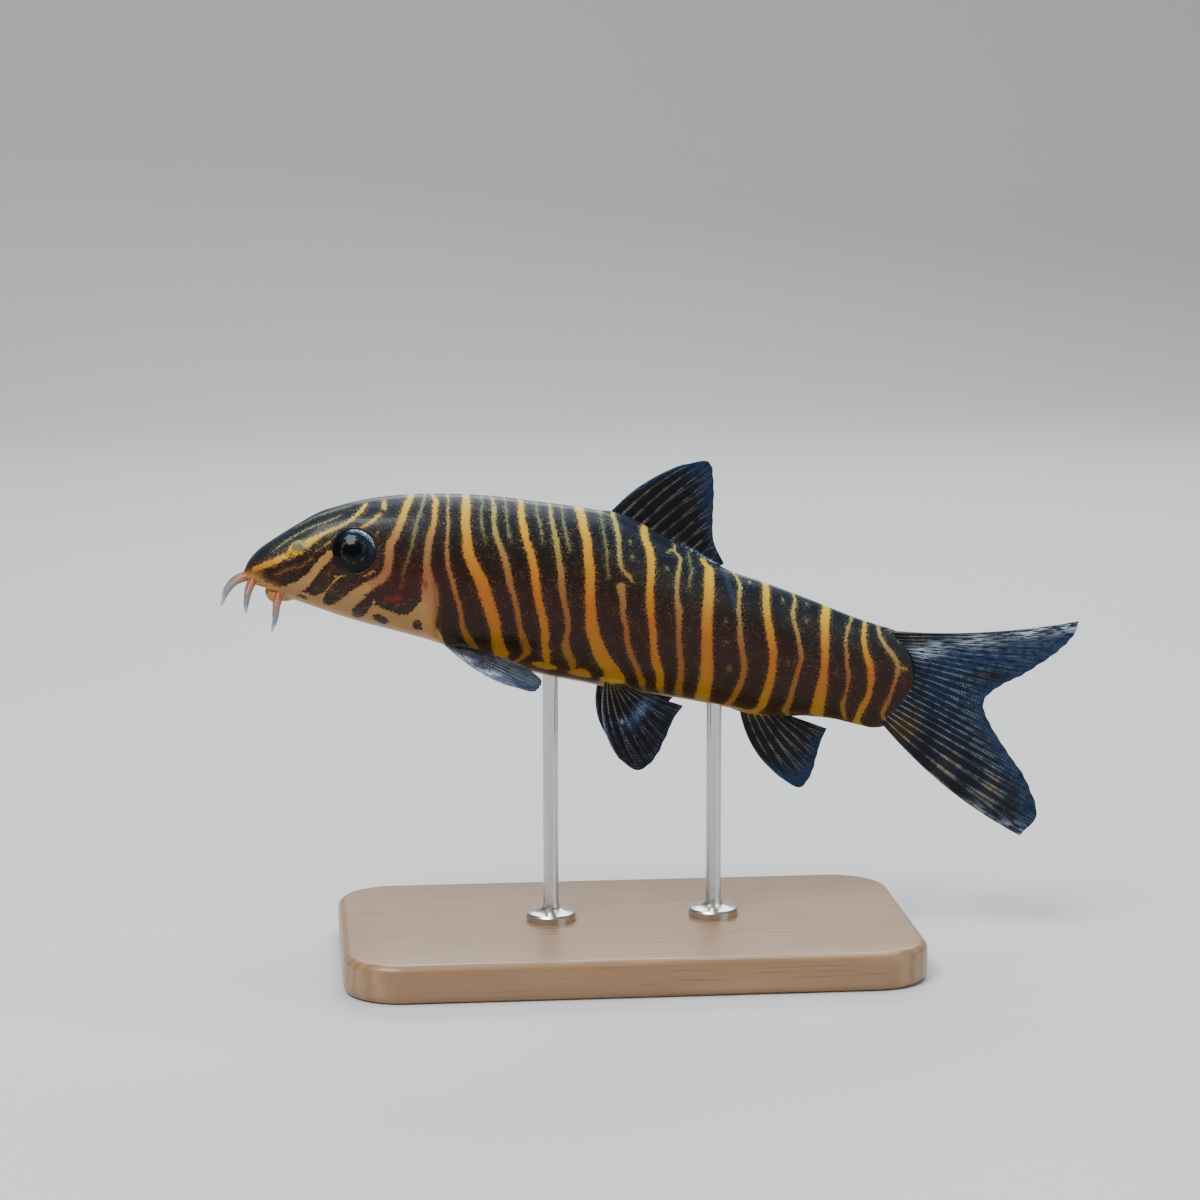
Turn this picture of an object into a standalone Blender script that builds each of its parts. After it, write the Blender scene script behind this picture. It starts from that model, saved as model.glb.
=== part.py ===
"""Zebra loach, a life-size still model held on a display stand.

The fish is built in its own frame: x runs from the snout tip to the base of the tail fin, z is up and the
left side is at -y. Its sizes are in percent of the standard length, so that one length drives them all.
An empty then pitches the fish nose up and lifts it over the stand. The row frame has its origin under the
middle of the base.
"""
import math

import bmesh
import bpy
from mathutils import Matrix, Vector

# Driving dimensions, in metres and radians
STANDARD_LENGTH = 0.070
PITCH = math.radians(10.75)
GAP = 0.0003
WELD = 1e-7
SNOUT_X = -0.0392
SNOUT_Z = 0.04125

BASE_SIZE = (0.060, 0.034, 0.004)
BASE_CORNER = 0.006
BASE_CHAMFER = 0.0006
ROD_RADIUS = 0.0008
ROD_FOOT_RADIUS = 0.0026
ROD_FOOT_HEIGHT = 0.0010
ROD_STATIONS = (45.5, 70.5)

# Sizes in percent of the standard length
PERCENT = STANDARD_LENGTH / 100
GAP_PC = GAP / PERCENT

# The body: station, back, belly, half width, widest level, fullness of the upper and of the lower half
STATIONS = (
    (0.0, 1.5, -0.5, 1.1, 0.5, 2.0, 2.0),
    (0.6, 2.8, -1.0, 2.1, 0.6, 2.0, 2.1),
    (1.6, 4.2, -1.2, 2.9, 0.8, 2.0, 2.2),
    (3.2, 5.8, -1.5, 3.5, 1.2, 2.0, 2.3),
    (5.5, 7.9, -2.0, 4.2, 1.8, 2.0, 2.4),
    (9.0, 10.8, -2.6, 5.0, 2.8, 2.1, 2.4),
    (12.0, 12.4, -3.1, 5.7, 3.6, 2.1, 2.4),
    (15.0, 13.7, -3.6, 6.2, 4.2, 2.1, 2.4),
    (18.5, 14.9, -4.0, 6.6, 4.4, 2.1, 2.4),
    (23.0, 16.0, -4.4, 7.1, 4.6, 2.1, 2.3),
    (28.0, 16.9, -4.9, 7.5, 4.7, 2.1, 2.3),
    (34.0, 17.6, -5.9, 7.7, 4.8, 2.1, 2.3),
    (40.0, 17.9, -6.9, 7.6, 4.8, 2.1, 2.2),
    (47.0, 18.2, -7.3, 7.2, 4.7, 2.1, 2.2),
    (52.0, 18.0, -7.4, 6.8, 4.5, 2.0, 2.2),
    (56.0, 16.8, -7.6, 6.4, 4.2, 2.0, 2.2),
    (62.0, 14.9, -7.5, 5.7, 3.6, 2.0, 2.1),
    (69.0, 12.9, -7.5, 4.8, 2.8, 2.0, 2.1),
    (76.0, 11.8, -7.7, 4.1, 2.1, 2.0, 2.0),
    (83.0, 10.5, -7.3, 3.4, 1.6, 2.0, 2.0),
    (90.0, 9.0, -6.9, 2.6, 1.1, 2.0, 2.0),
    (94.0, 8.4, -7.2, 2.1, 0.8, 2.0, 2.0),
    (96.8, 8.0, -7.3, 1.8, 0.7, 2.0, 2.0),
    (98.6, 7.1, -6.6, 1.5, 0.6, 2.0, 2.0),
    (100.2, 5.2, -4.9, 1.2, 0.6, 2.0, 2.0),
    (101.4, 2.6, -2.0, 0.8, 0.6, 2.0, 2.0),
)
BODY_END = 101.4
BEND_START = 45.0
BEND_AT_TAIL_BASE = 1.6

GILL_TOP = 22.5
GILL_BULGE = 6.3
VENT = 73.5
SIDES = 36
HEAD_RINGS = (0.0, 0.3, 0.8, 1.6, 2.6, 3.8, 5.2, 6.8, 8.6, 10.4, 12.2, 14.0, 15.8, 17.6, 19.4, 21.0, 22.5)
GILL_REACH = 16.0

# The eye, its rim and the openings of the head
EYE_STATION = 14.85
EYE_HEIGHT = 6.9
EYE_RADIUS = 3.1
EYE_DEPTH = 2.2
EYE_BULGE = 1.0
RIM_RADIUS = 3.35
RIM_THICKNESS = 0.3
RIM_LIFT = 0.1
MOUTH_CORNER = (5.4, 2.5, -1.5)
MOUTH_CENTRE = (2.8, 0, -1.75)
MOUTH_RADII = (2.8, 2.4, 0.25)
LIP_RADII = {"upper_lip": (0.5, 0.5, 0.5, 0.5, 0.5), "lower_lip": (0.5, 0.65, 0.7, 0.65, 0.5)}
NOSTRIL_STATION = 7.3
NOSTRIL_HEIGHT = 5.9
NOSTRIL_RADIUS = 0.75
NOSTRIL_LENGTH = 2.8
NOSTRIL_LEAN = (-0.1, 0, 1.0)

SIDE_NAMES = {"left": -1, "right": 1}

# Angles over which an edge stays sharp
SOFT = math.radians(75)
CRISP = math.radians(35)


def smooth(table, x, column=1):
    """One column of a table of stations, read on a smooth curve through its points."""
    last = len(table) - 2
    k = 0
    while k < last and x > table[k + 1][0]:
        k += 1
    x0, x1 = table[k][0], table[k + 1][0]
    y0, y1 = table[k][column], table[k + 1][column]
    slope = (y1 - y0) / (x1 - x0)
    before = slope if k == 0 else (y1 - table[k - 1][column]) / (x1 - table[k - 1][0])
    after = slope if k == last else (table[k + 2][column] - y0) / (table[k + 2][0] - x0)
    f = min(max((x - x0) / (x1 - x0), 0.0), 1.0)
    width = x1 - x0
    return (
        y0 * (1 + 2 * f) * (1 - f) ** 2
        + width * before * f * (1 - f) ** 2
        + y1 * f * f * (3 - 2 * f)
        + width * after * f * f * (f - 1)
    )


def along(points, u):
    """A point at share u of a smooth curve through points that are spaced evenly in u."""
    share = u * (len(points) - 1)
    axes = [[(k, p[axis]) for k, p in enumerate(points)] for axis in range(len(points[0]))]
    return [smooth(axis, share) for axis in axes]


def bend(x):
    """How far the body swings to the right at a station, as the tail does in a slow stroke."""
    past = max(0.0, x - BEND_START) / (100.0 - BEND_START)
    return BEND_AT_TAIL_BASE * past * past


def skin_point(x, t):
    """A point of the body's surface at station x. The angle t is 0 on the back and pi on the belly."""
    x = min(max(x, 0.0), BODY_END)
    back, belly, half, level, upper, lower = (smooth(STATIONS, x, c) for c in range(1, 7))
    fullness, height = (upper, back - level) if math.cos(t) > 0 else (lower, level - belly)
    power = 2 / fullness
    y = half * math.copysign(abs(math.sin(t)) ** power, math.sin(t))
    z = level + height * math.copysign(abs(math.cos(t)) ** power, math.cos(t))
    return Vector((x, y + bend(x), z))


def skin_normal(x, t):
    """The outward direction of the surface at station x and angle t."""
    step = 0.05
    lengthwise = skin_point(x + step, t) - skin_point(x - step, t)
    around = skin_point(x, t + step) - skin_point(x, t - step)
    normal = around.cross(lengthwise).normalized()
    outward = skin_point(x, t) - Vector((x, bend(x), smooth(STATIONS, x, 4)))
    return normal if normal.dot(outward) > 0 else -normal


def angle_at(x, height, side):
    """The angle t at which the surface of station x lies at a height, on the side -1 or 1."""
    low, high = 0.0, math.pi
    for _ in range(40):
        middle = (low + high) / 2
        if skin_point(x, middle).z > height:
            low = middle
        else:
            high = middle
    return side * (low + high) / 2


def metres(p):
    return Vector(p) * PERCENT


def collect(name):
    found = bpy.data.collections.new(name)
    bpy.context.scene.collection.children.link(found)
    return found


def mesh_object(name, vertices, faces):
    """A new object from points in percent of the standard length."""
    mesh = bpy.data.meshes.new(name)
    mesh.from_pydata([metres(v) for v in vertices], [], faces)
    mesh.validate()
    made = bpy.data.objects.new(name, mesh)
    MODEL.objects.link(made)
    mend(made)
    return made


def mend(obj):
    """Welds a mesh's seams and turns its faces outward."""
    bm = bmesh.new()
    bm.from_mesh(obj.data)
    bmesh.ops.remove_doubles(bm, verts=bm.verts[:], dist=WELD)
    bmesh.ops.recalc_face_normals(bm, faces=bm.faces[:])
    bm.to_mesh(obj.data)
    bm.free()


def bake(obj):
    """Puts the modifiers' result into the mesh."""
    bpy.context.view_layer.update()
    evaluated = obj.evaluated_get(bpy.context.evaluated_depsgraph_get())
    mesh = bpy.data.meshes.new_from_object(evaluated)
    obj.modifiers.clear()
    obj.data = mesh


def keep_largest(obj):
    """Keeps the largest closed surface of a mesh and welds its seams."""
    bm = bmesh.new()
    bm.from_mesh(obj.data)
    bmesh.ops.remove_doubles(bm, verts=bm.verts[:], dist=WELD)
    left = set(bm.faces)
    groups = []
    while left:
        seed = left.pop()
        group, front = {seed}, [seed]
        while front:
            for edge in front.pop().edges:
                for face in edge.link_faces:
                    if face in left:
                        left.discard(face)
                        group.add(face)
                        front.append(face)
        groups.append(group)
    largest = max(groups, key=lambda g: sum(f.calc_area() for f in g))
    bmesh.ops.delete(bm, geom=[f for f in bm.faces if f not in largest], context="FACES")
    loose = [v for v in bm.verts if not v.link_faces]
    bmesh.ops.delete(bm, geom=loose, context="VERTS")
    bm.to_mesh(obj.data)
    bm.free()


def remove(objects):
    for gone in objects:
        bpy.data.objects.remove(gone, do_unlink=True)


def move_to(collection, obj):
    for owner in list(obj.users_collection):
        owner.objects.unlink(obj)
    collection.objects.link(obj)


def as_cutter(obj):
    """Marks an object as one that only cuts others."""
    move_to(CUTTERS, obj)
    obj.hide_render = True
    obj.display_type = "WIRE"
    return obj


def soften(obj, sharp_over):
    """Shades an object smooth, save for its sharp edges."""
    obj.data.shade_smooth()
    obj.data.set_sharp_from_angle(angle=sharp_over)


def fuse(obj, pieces):
    """Joins closed pieces to a node with one Boolean union, and removes them."""
    group = collect("pieces")
    for piece in pieces:
        move_to(group, piece)
    union = obj.modifiers.new("fuse", "BOOLEAN")
    union.operation = "UNION"
    union.operand_type = "COLLECTION"
    union.collection = group
    union.solver = "EXACT"
    bake(obj)
    remove(list(group.objects))
    bpy.data.collections.remove(group)
    keep_largest(obj)


def carve(obj, cutters):
    """Cuts a node with each cutter in turn."""
    for cutter in cutters:
        cut = obj.modifiers.new("carve", "BOOLEAN")
        cut.operation = "DIFFERENCE"
        cut.object = cutter
        cut.solver = "EXACT"
        bake(obj)
    keep_largest(obj)


def loft(name, rings, front, rear):
    """A closed skin over rings of points, with an end point for each cap."""
    count = len(rings[0])
    vertices = [p for ring in rings for p in ring] + [front, rear]
    faces = []
    for k in range(len(rings) - 1):
        for j in range(count):
            a, b = k * count + j, k * count + (j + 1) % count
            faces += [(a, b, b + count), (a, b + count, a + count)]
    first, last, end = len(vertices) - 2, len(vertices) - 1, (len(rings) - 1) * count
    for j in range(count):
        faces.append((first, (j + 1) % count, j))
        faces.append((last, end + j, end + (j + 1) % count))
    return mesh_object(name, vertices, faces)


def ring_at(station, gill_share=0.0, grow=0.0):
    """One ring of the body, which may follow the rear edge of the gill cover and stand off by grow."""
    ring = []
    for j in range(SIDES):
        t = 2 * math.pi * j / SIDES
        down = t if t <= math.pi else 2 * math.pi - t
        x = station + gill_share * GILL_BULGE * math.sin(0.6 * down) ** 1.4
        point = skin_point(x, t)
        if grow:
            point = point + skin_normal(x, t) * grow
        ring.append(point)
    return ring


def middle_of(ring):
    return sum(ring, Vector()) / len(ring)


def body_part(name, rings):
    return loft(name, rings, middle_of(rings[0]), middle_of(rings[-1]))


def gill_share(station):
    """How much a ring follows the gill cover's edge, from 0 well away from it to 1 on it."""
    return max(0.0, 1 - abs(station - GILL_TOP) / GILL_REACH)


def envelope():
    """The whole body grown by the gap, which cuts what grows from it."""
    stations = [0.0, 0.6, 1.6, *range(3, 97, 2), 98.0, 99.4, BODY_END]
    rings = [ring_at(x, grow=GAP_PC) for x in stations]
    front = middle_of(rings[0]) - Vector((GAP_PC, 0, 0))
    rear = middle_of(rings[-1]) + Vector((GAP_PC, 0, 0))
    return loft("envelope", rings, front, rear)


def shaped(name, centre, direction, scales):
    """The primitive that was just added, named, scaled and turned with its own z along a direction."""
    made = bpy.context.active_object
    made.name = name
    stretch = Matrix.Diagonal((*(s * PERCENT for s in scales), 1))
    aim = Vector(direction).to_track_quat("Z", "Y").to_matrix().to_4x4()
    made.data.transform(Matrix.Translation(metres(centre)) @ aim @ stretch)
    move_to(MODEL, made)
    return made


def ball(name, centre, radii, direction=(0, 0, 1), segments=22, rings=12):
    bpy.ops.mesh.primitive_uv_sphere_add(segments=segments, ring_count=rings, radius=1)
    return shaped(name, centre, direction, radii)


def cylinder(name, centre, direction, radius, length, sides):
    bpy.ops.mesh.primitive_cylinder_add(vertices=sides, radius=1, depth=1)
    return shaped(name, centre, direction, (radius, radius, length))


def hoop(name, centre, direction, radius, thickness):
    bpy.ops.mesh.primitive_torus_add(
        major_radius=radius, minor_radius=thickness, major_segments=22, minor_segments=6
    )
    return shaped(name, centre, direction, (1, 1, 1))


def tube(name, points, radii, count=12, resolution=2):
    """A tapered tube through points, made from a bevelled curve and turned into a closed mesh."""
    curve = bpy.data.curves.new(name, "CURVE")
    curve.dimensions = "3D"
    curve.bevel_depth = PERCENT
    curve.bevel_resolution = resolution
    curve.use_fill_caps = True
    spline = curve.splines.new("POLY")
    spline.points.add(count - 1)
    for k, point in enumerate(spline.points):
        u = k / (count - 1)
        point.co = (*metres(along(points, u)), 1)
        point.radius = along([(r,) for r in radii], u)[0]
    return from_curve(name, bpy.data.objects.new(name, curve))


def from_curve(name, wire):
    """A closed mesh object in place of a curve object, with its caps welded."""
    MODEL.objects.link(wire)
    bpy.context.view_layer.update()
    mesh = bpy.data.meshes.new_from_object(
        wire.evaluated_get(bpy.context.evaluated_depsgraph_get())
    )
    remove([wire])
    made = bpy.data.objects.new(name, mesh)
    MODEL.objects.link(made)
    mend(made)
    return made


def eye_frame(side):
    """The point of the head's surface under the middle of the eye, and its outward direction."""
    t = angle_at(EYE_STATION, EYE_HEIGHT, side)
    return skin_point(EYE_STATION, t), skin_normal(EYE_STATION, t)


def eye(side_name):
    surface, out = eye_frame(SIDE_NAMES[side_name])
    radii = (EYE_RADIUS, EYE_RADIUS, EYE_DEPTH)
    return ball("eye_" + side_name, surface + out * (EYE_BULGE - EYE_DEPTH), radii, out)


def lips():
    """The fleshy upper and lower lip, from one corner of the mouth round the front to the other."""
    x, y, z = MOUTH_CORNER
    lines = {
        "upper_lip": [(x, -y, z + 0.3), (3.5, -2.2, -1.1), (1.7, 0, -0.8), (3.5, 2.2, -1.1), (x, y, z + 0.3)],
        "lower_lip": [
            (x, 0.3 - y, z - 0.4), (4.3, -1.6, -2.4), (3.6, 0, -2.5), (4.3, 1.6, -2.4), (x, y - 0.3, z - 0.4)
        ],
    }
    return [tube(name, points, LIP_RADII[name], count=9, resolution=1) for name, points in lines.items()]


def head_knobs():
    """The knob that carries the barbels of the snout, the two at the corners of the mouth and the chin."""
    x, y, z = MOUTH_CORNER
    knobs = [("snout_knob", (0.8, 0, 0.0), (1.2, 1.9, 1.0))]
    knobs += [("corner_knob", (x, s * (y + 0.1), z), (0.8, 0.7, 0.8)) for s in (-1, 1)]
    knobs += [("chin", (5.4, 0, -1.8), (2.2, 2.2, 0.9))]
    return knobs


def nostril_frame(side):
    """The foot of the nostril's tube on the skin, and the tube's direction."""
    t = angle_at(NOSTRIL_STATION, NOSTRIL_HEIGHT, side)
    lean = skin_normal(NOSTRIL_STATION, t) + Vector(NOSTRIL_LEAN)
    return skin_point(NOSTRIL_STATION, t), lean.normalized()


def head():
    rings = [ring_at(x, gill_share(x)) for x in HEAD_RINGS]
    made = body_part("head", rings)
    pieces = lips()
    pieces += [ball(n, c, r, segments=14, rings=8) for n, c, r in head_knobs()]
    cutters = [ball("mouth", MOUTH_CENTRE, MOUTH_RADII, segments=16, rings=8)]
    for side in SIDE_NAMES.values():
        surface, out = eye_frame(side)
        pieces.append(hoop("eye_rim", surface + out * RIM_LIFT, out, RIM_RADIUS, RIM_THICKNESS))
        socket = (EYE_RADIUS + GAP_PC, EYE_RADIUS + GAP_PC, EYE_DEPTH + GAP_PC)
        cutters.append(ball("socket", surface + out * (EYE_BULGE - EYE_DEPTH), socket, out))
        foot, out = nostril_frame(side)
        pieces.append(cylinder("nostril", foot, out, NOSTRIL_RADIUS, NOSTRIL_LENGTH, 10))
        tip = foot + out * NOSTRIL_LENGTH / 2
        cutters.append(cylinder("pit", tip, out, NOSTRIL_RADIUS / 2, NOSTRIL_LENGTH / 2, 10))
    cutters = [as_cutter(c) for c in cutters]
    fuse(made, pieces)
    carve(made, cutters)
    remove(cutters)
    return made


def trunk():
    first = GILL_TOP + GAP_PC
    stations = [first, 24.0, 26.0, 28.0, 30.5, *range(33, 73, 3), VENT]
    rings = [ring_at(x, 1.0 if x == first else gill_share(x)) for x in stations]
    return body_part("trunk", rings)


def tail():
    stations = [VENT + GAP_PC, 76.0, 79.0, 82.0, 85.0, 88.0, 91.0, 94.0, 96.0, 97.4, 98.6, 99.5, BODY_END]
    return body_part("tail", [ring_at(x) for x in stations])


# The fins

RAY_STEPS = 4
RAY_HEIGHT = 0.16
MEMBRANE_HALF = 0.36
EDGE_SHARE = 0.75
LOBE_GAP = 0.036
ROOT_GAP = GAP_PC + 0.05
PELVIC_LEVEL = -6.3
PELVIC_SPREAD = math.tan(math.radians(14))


def ridge(step, v, split):
    """How high a ray stands at one of the four columns between two rays, and at share v of its length."""
    if v < split:
        return (1.0, 0.35, 0.0, 0.35)[step]
    return (0.35, 1.0, 0.0, 1.0)[step]


def fin(name, rays, rows, place, split=0.5):
    """A thin fin as a closed slab, with its rays as ridges that fork at the share split of their length.

    place(u, v) gives the middle of the fin at share u from its first to its last ray and share v from its
    root to its edge. Both faces are cut into the same triangles.
    """
    columns = (rays - 1) * RAY_STEPS
    grid = [[Vector(place(j / columns, k / rows)) for k in range(rows + 1)] for j in range(columns + 1)]
    front, back = [], []
    for j in range(columns + 1):
        for k in range(rows + 1):
            across = grid[min(j + 1, columns)][k] - grid[max(j - 1, 0)][k]
            out = grid[j][min(k + 1, rows)] - grid[j][max(k - 1, 0)]
            normal = across.cross(out).normalized()
            v = k / rows
            half = MEMBRANE_HALF * (1 - (1 - EDGE_SHARE) * v)
            edge_ray = 1.0 if j in (0, columns) else ridge(j % RAY_STEPS, v, split)
            half += RAY_HEIGHT * edge_ray * (1 - 0.6 * v)
            front.append(grid[j][k] + normal * half)
            back.append(grid[j][k] - normal * half)
    total, tall = len(front), rows + 1
    faces = []
    for j in range(columns):
        for k in range(rows):
            a = j * tall + k
            b = a + tall
            for tri in ((a, b, b + 1), (a, b + 1, a + 1)):
                faces += [tri, tuple(total + i for i in reversed(tri))]
    rim = [k for k in range(rows)]
    rim += [j * tall + rows for j in range(columns)]
    rim += [columns * tall + k for k in range(rows, 0, -1)]
    rim += [j * tall for j in range(columns, 0, -1)]
    for here, there in zip(rim, rim[1:] + rim[:1]):
        faces += [(here, there, total + there), (here, total + there, total + here)]
    return mesh_object(name, front + back, faces)


def sheet(root, margin, bow, side_lift):
    """A place function for a fin from its root line to its margin.

    bow bulges the first rays outward in the fin's plane, and side_lift(x, z, v) gives y.
    """

    def place(u, v):
        (x0, z0), (x1, z1) = along(root, u), along(margin, u)
        swell = 4 * v * (1 - v) * along([(b,) for b in bow], u)[0]
        length = math.hypot(x1 - x0, z1 - z0)
        across = (-(z1 - z0) / length, (x1 - x0) / length)
        x = x0 + (x1 - x0) * v + across[0] * swell
        z = z0 + (z1 - z0) * v + across[1] * swell
        return x, side_lift(x, z, v), z

    return place


def dorsal_fin():
    root = [(x, skin_point(x, 0).z + ROOT_GAP) for x in (51.3, 57.1, 63.0, 68.8)]
    margin = [(60.6, 27.0), (64.3, 28.0), (65.7, 24.6), (66.5, 20.2), (67.4, 16.8), (70.0, 13.7)]
    bow = (0.9, 0.6, 0.3, 0.2, 0.1, 0.0)
    return fin("dorsal_fin", 10, 7, sheet(root, margin, bow, lambda x, z, v: bend(x) + 0.5 * v * v))


def anal_fin():
    root = [(x, skin_point(x, math.pi).z - ROOT_GAP) for x in (76.0, 78.7, 81.4, 84.1)]
    margin = [(83.8, -16.8), (87.1, -18.0), (88.5, -15.8), (88.8, -12.9), (89.0, -10.4), (89.5, -8.4)]
    bow = (-1.1, -0.7, -0.4, -0.2, 0.0, 0.0)
    return fin("anal_fin", 8, 6, sheet(root, margin, bow, lambda x, z, v: bend(x) - 0.4 * v * v))


def caudal_fin(name, first, last, rays):
    """One lobe of the tail fin, between two shares of the whole fin from its upper to its lower edge."""
    root = [(98.9, 7.9), (100.3, 6.2), (101.5, 4.4), (102.0, 1.6), (101.9, -1.6), (100.9, -4.7), (98.9, -7.3)]
    upper = [(126.0, 13.3), (125.2, 10.8), (122.3, 7.7), (118.5, 4.5), (115.2, 2.2)]
    fork = [(112.9, -0.8)]
    lower = [(114.8, -4.2), (118.5, -8.1), (122.0, -11.6), (124.8, -16.4), (123.9, -20.7)]
    bow = (-0.6, -0.3, 0.0, 0.0, 0.0, 0.0, 0.0, 0.0, 0.0, -0.3, -1.3)

    def swing(x, z, v):
        lean = 0.028 * max(0.0, z - 2.0) ** 2 * v
        return bend(x) + 0.5 * v + lean

    whole = sheet(root, upper + fork + lower, bow, swing)
    return fin(name, rays, 8, lambda u, v: whole(first + (last - first) * u, v), split=0.4)


def roots_on(places, side):
    """Points just off the skin, at stations and heights."""
    found = []
    for x, height in places:
        t = angle_at(x, height, side)
        found.append(skin_point(x, t) + skin_normal(x, t) * (ROOT_GAP + 0.05))
    return found


def pelvic_fin(side_name):
    """A fin that hangs from the belly, a little spread."""
    side = SIDE_NAMES[side_name]
    roots = roots_on([(x, PELVIC_LEVEL) for x in (54.6, 55.7, 56.8, 57.9)], side)
    margin = [(58.4, -16.7), (61.4, -17.9), (63.5, -16.0), (64.7, -12.8), (65.5, -9.8), (66.6, -7.7)]
    bow = (-1.3, -0.9, -0.5, -0.2, 0.0, 0.0)
    start = along([tuple(p) for p in roots], 0.5)[1]

    def lift(x, z, v):
        return start + side * (PELVIC_SPREAD * max(0.0, PELVIC_LEVEL - z) + 0.9 * v)

    root = [(p.x, p.z) for p in roots]
    return fin("pelvic_fin_" + side_name, 8, 6, sheet(root, margin, bow, lift))


def pectoral_fin(side_name):
    """A fin held out flat and swept back under the flank."""
    side = SIDE_NAMES[side_name]
    roots = [tuple(p) for p in roots_on(((30.2, -4.3), (31.1, -4.2), (32.0, -4.0), (32.9, -3.7)), side)]
    edge = ((40.0, 12.4, -7.7), (43.2, 12.6, -7.9), (44.6, 11.0, -7.0), (44.2, 9.0, -6.2), (42.4, 7.2, -5.6))
    margin = [(x, side * y, z) for x, y, z in edge]
    droop = ((-0.7,), (-0.35,), (-0.18,), (0.0,), (0.0,))

    def place(u, v):
        start, end = Vector(along(roots, u)), Vector(along(margin, u))
        middle = start.lerp(end, v)
        middle.z += 4 * v * (1 - v) * along(droop, u)[0]
        return middle

    return fin("pectoral_fin_" + side_name, 9, 6, place)


# The barbels

BARBEL_RADII = (0.62, 0.53, 0.42, 0.24)


def barbel(name, points, radii, cutters):
    """A feeler whose root starts inside the head and is cut back to the gap."""
    made = tube(name, points, radii, count=12, resolution=2)
    carve(made, cutters)
    return made


def barbels():
    """Two pairs on the snout and one pair at the corners of the mouth."""
    cutters = [as_cutter(ball("knob", c, [r + GAP_PC for r in radii])) for _, c, radii in head_knobs()]
    cutters += [BODY_ENVELOPE]
    x, y, z = MOUTH_CORNER
    made = []
    for side_name, s in SIDE_NAMES.items():
        shorter = 0.8 if s > 0 else 0.0
        lines = {
            "inner": ((1.2, 0.8, 0.2), (-1.0, 1.5, -1.0), (-2.1, 1.9, -2.6), (-2.6, 2.0, shorter - 4.9)),
            "outer": ((1.5, 1.4, 0.0), (1.0, 2.6, -1.8), (0.9, 3.0, -3.6), (1.1, 3.1, -5.2)),
            "mouth": ((x, y, z), (5.3, 3.4, -3.4), (5.4, 3.7, -5.2), (5.2, 3.9, shorter - 7.1)),
        }
        for kind, line in lines.items():
            points = [(px, s * py, pz) for px, py, pz in line]
            made.append(barbel(f"barbel_{kind}_{side_name}", points, BARBEL_RADII, cutters))
    remove(cutters[:-1])
    return made


# The stand

def stand_base():
    """A flat plate with round corners and a fine chamfer."""
    length, width, height = BASE_SIZE
    curve = bpy.data.curves.new("stand_base", "CURVE")
    curve.dimensions = "2D"
    curve.fill_mode = "BOTH"
    curve.extrude = height / 2 - BASE_CHAMFER
    curve.bevel_depth = BASE_CHAMFER
    curve.bevel_resolution = 0
    curve.offset = -BASE_CHAMFER
    spline = curve.splines.new("POLY")
    outline = []
    for quarter, (sx, sy) in enumerate(((1, 1), (-1, 1), (-1, -1), (1, -1))):
        centre = (sx * (length / 2 - BASE_CORNER), sy * (width / 2 - BASE_CORNER))
        for step in range(7):
            a = (quarter + step / 6) * math.pi / 2
            outline.append((centre[0] + BASE_CORNER * math.cos(a), centre[1] + BASE_CORNER * math.sin(a)))
    spline.points.add(len(outline) - 1)
    for point, (x, y) in zip(spline.points, outline):
        point.co = (x, y, 0, 1)
    spline.use_cyclic_u = True
    wire = bpy.data.objects.new("outline", curve)
    made = from_curve("stand_base", wire)
    made.location.z = height / 2
    return made


def stand_rod(name, station):
    """A rod with a small foot, turned from one profile and cut to the belly over it."""
    belly = placement() @ metres((station, bend(station), 0))
    profile = [
        (0.0, 0.0),
        (ROD_FOOT_RADIUS, 0.0),
        (ROD_FOOT_RADIUS, ROD_FOOT_HEIGHT * 0.6),
        (ROD_FOOT_RADIUS - 0.0004, ROD_FOOT_HEIGHT),
        (ROD_RADIUS + 0.0004, ROD_FOOT_HEIGHT * 1.25),
        (ROD_RADIUS, ROD_FOOT_HEIGHT * 1.8),
        (ROD_RADIUS, belly.z - BASE_SIZE[2]),
        (0.0, belly.z - BASE_SIZE[2]),
    ]
    mesh = bpy.data.meshes.new(name)
    edges = [(k, k + 1) for k in range(len(profile) - 1)]
    mesh.from_pydata([(r, 0, z) for r, z in reversed(profile)], edges, [])
    made = bpy.data.objects.new(name, mesh)
    MODEL.objects.link(made)
    made.location = (belly.x, belly.y, BASE_SIZE[2] + GAP)
    turn = made.modifiers.new("turn", "SCREW")
    turn.steps = turn.render_steps = 20
    turn.use_merge_vertices = True
    turn.merge_threshold = 1e-5
    bake(made)
    mend(made)
    carve(made, [BODY_ENVELOPE])
    return made


def placement():
    """From the fish's own frame to the row frame."""
    return Matrix.Translation((SNOUT_X, 0, SNOUT_Z)) @ Matrix.Rotation(PITCH, 4, "Y")


def paint(obj, colour, roughness, metallic=0.0):
    """Gives an object its own material."""
    material = bpy.data.materials.new(obj.name)
    material.use_nodes = True
    shader = material.node_tree.nodes["Principled BSDF"]
    shader.inputs["Base Color"].default_value = (*colour, 1)
    shader.inputs["Roughness"].default_value = roughness
    shader.inputs["Metallic"].default_value = metallic
    obj.data.materials.clear()
    obj.data.materials.append(material)


for leftover in list(bpy.data.objects):
    bpy.data.objects.remove(leftover, do_unlink=True)
MODEL = collect("zebra_loach")
CUTTERS = collect("cutters")
BODY_ENVELOPE = as_cutter(envelope())

flesh = [head(), trunk(), tail()]
eyes = [eye("left"), eye("right")]
fins = [dorsal_fin(), anal_fin()]
fins += [caudal_fin("caudal_fin_upper", 0.0, 0.5 - LOBE_GAP / 2, 10)]
fins += [caudal_fin("caudal_fin_lower", 0.5 + LOBE_GAP / 2, 1.0, 9)]
fins += [pelvic_fin("left"), pelvic_fin("right"), pectoral_fin("left"), pectoral_fin("right")]
feelers = barbels()

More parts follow.
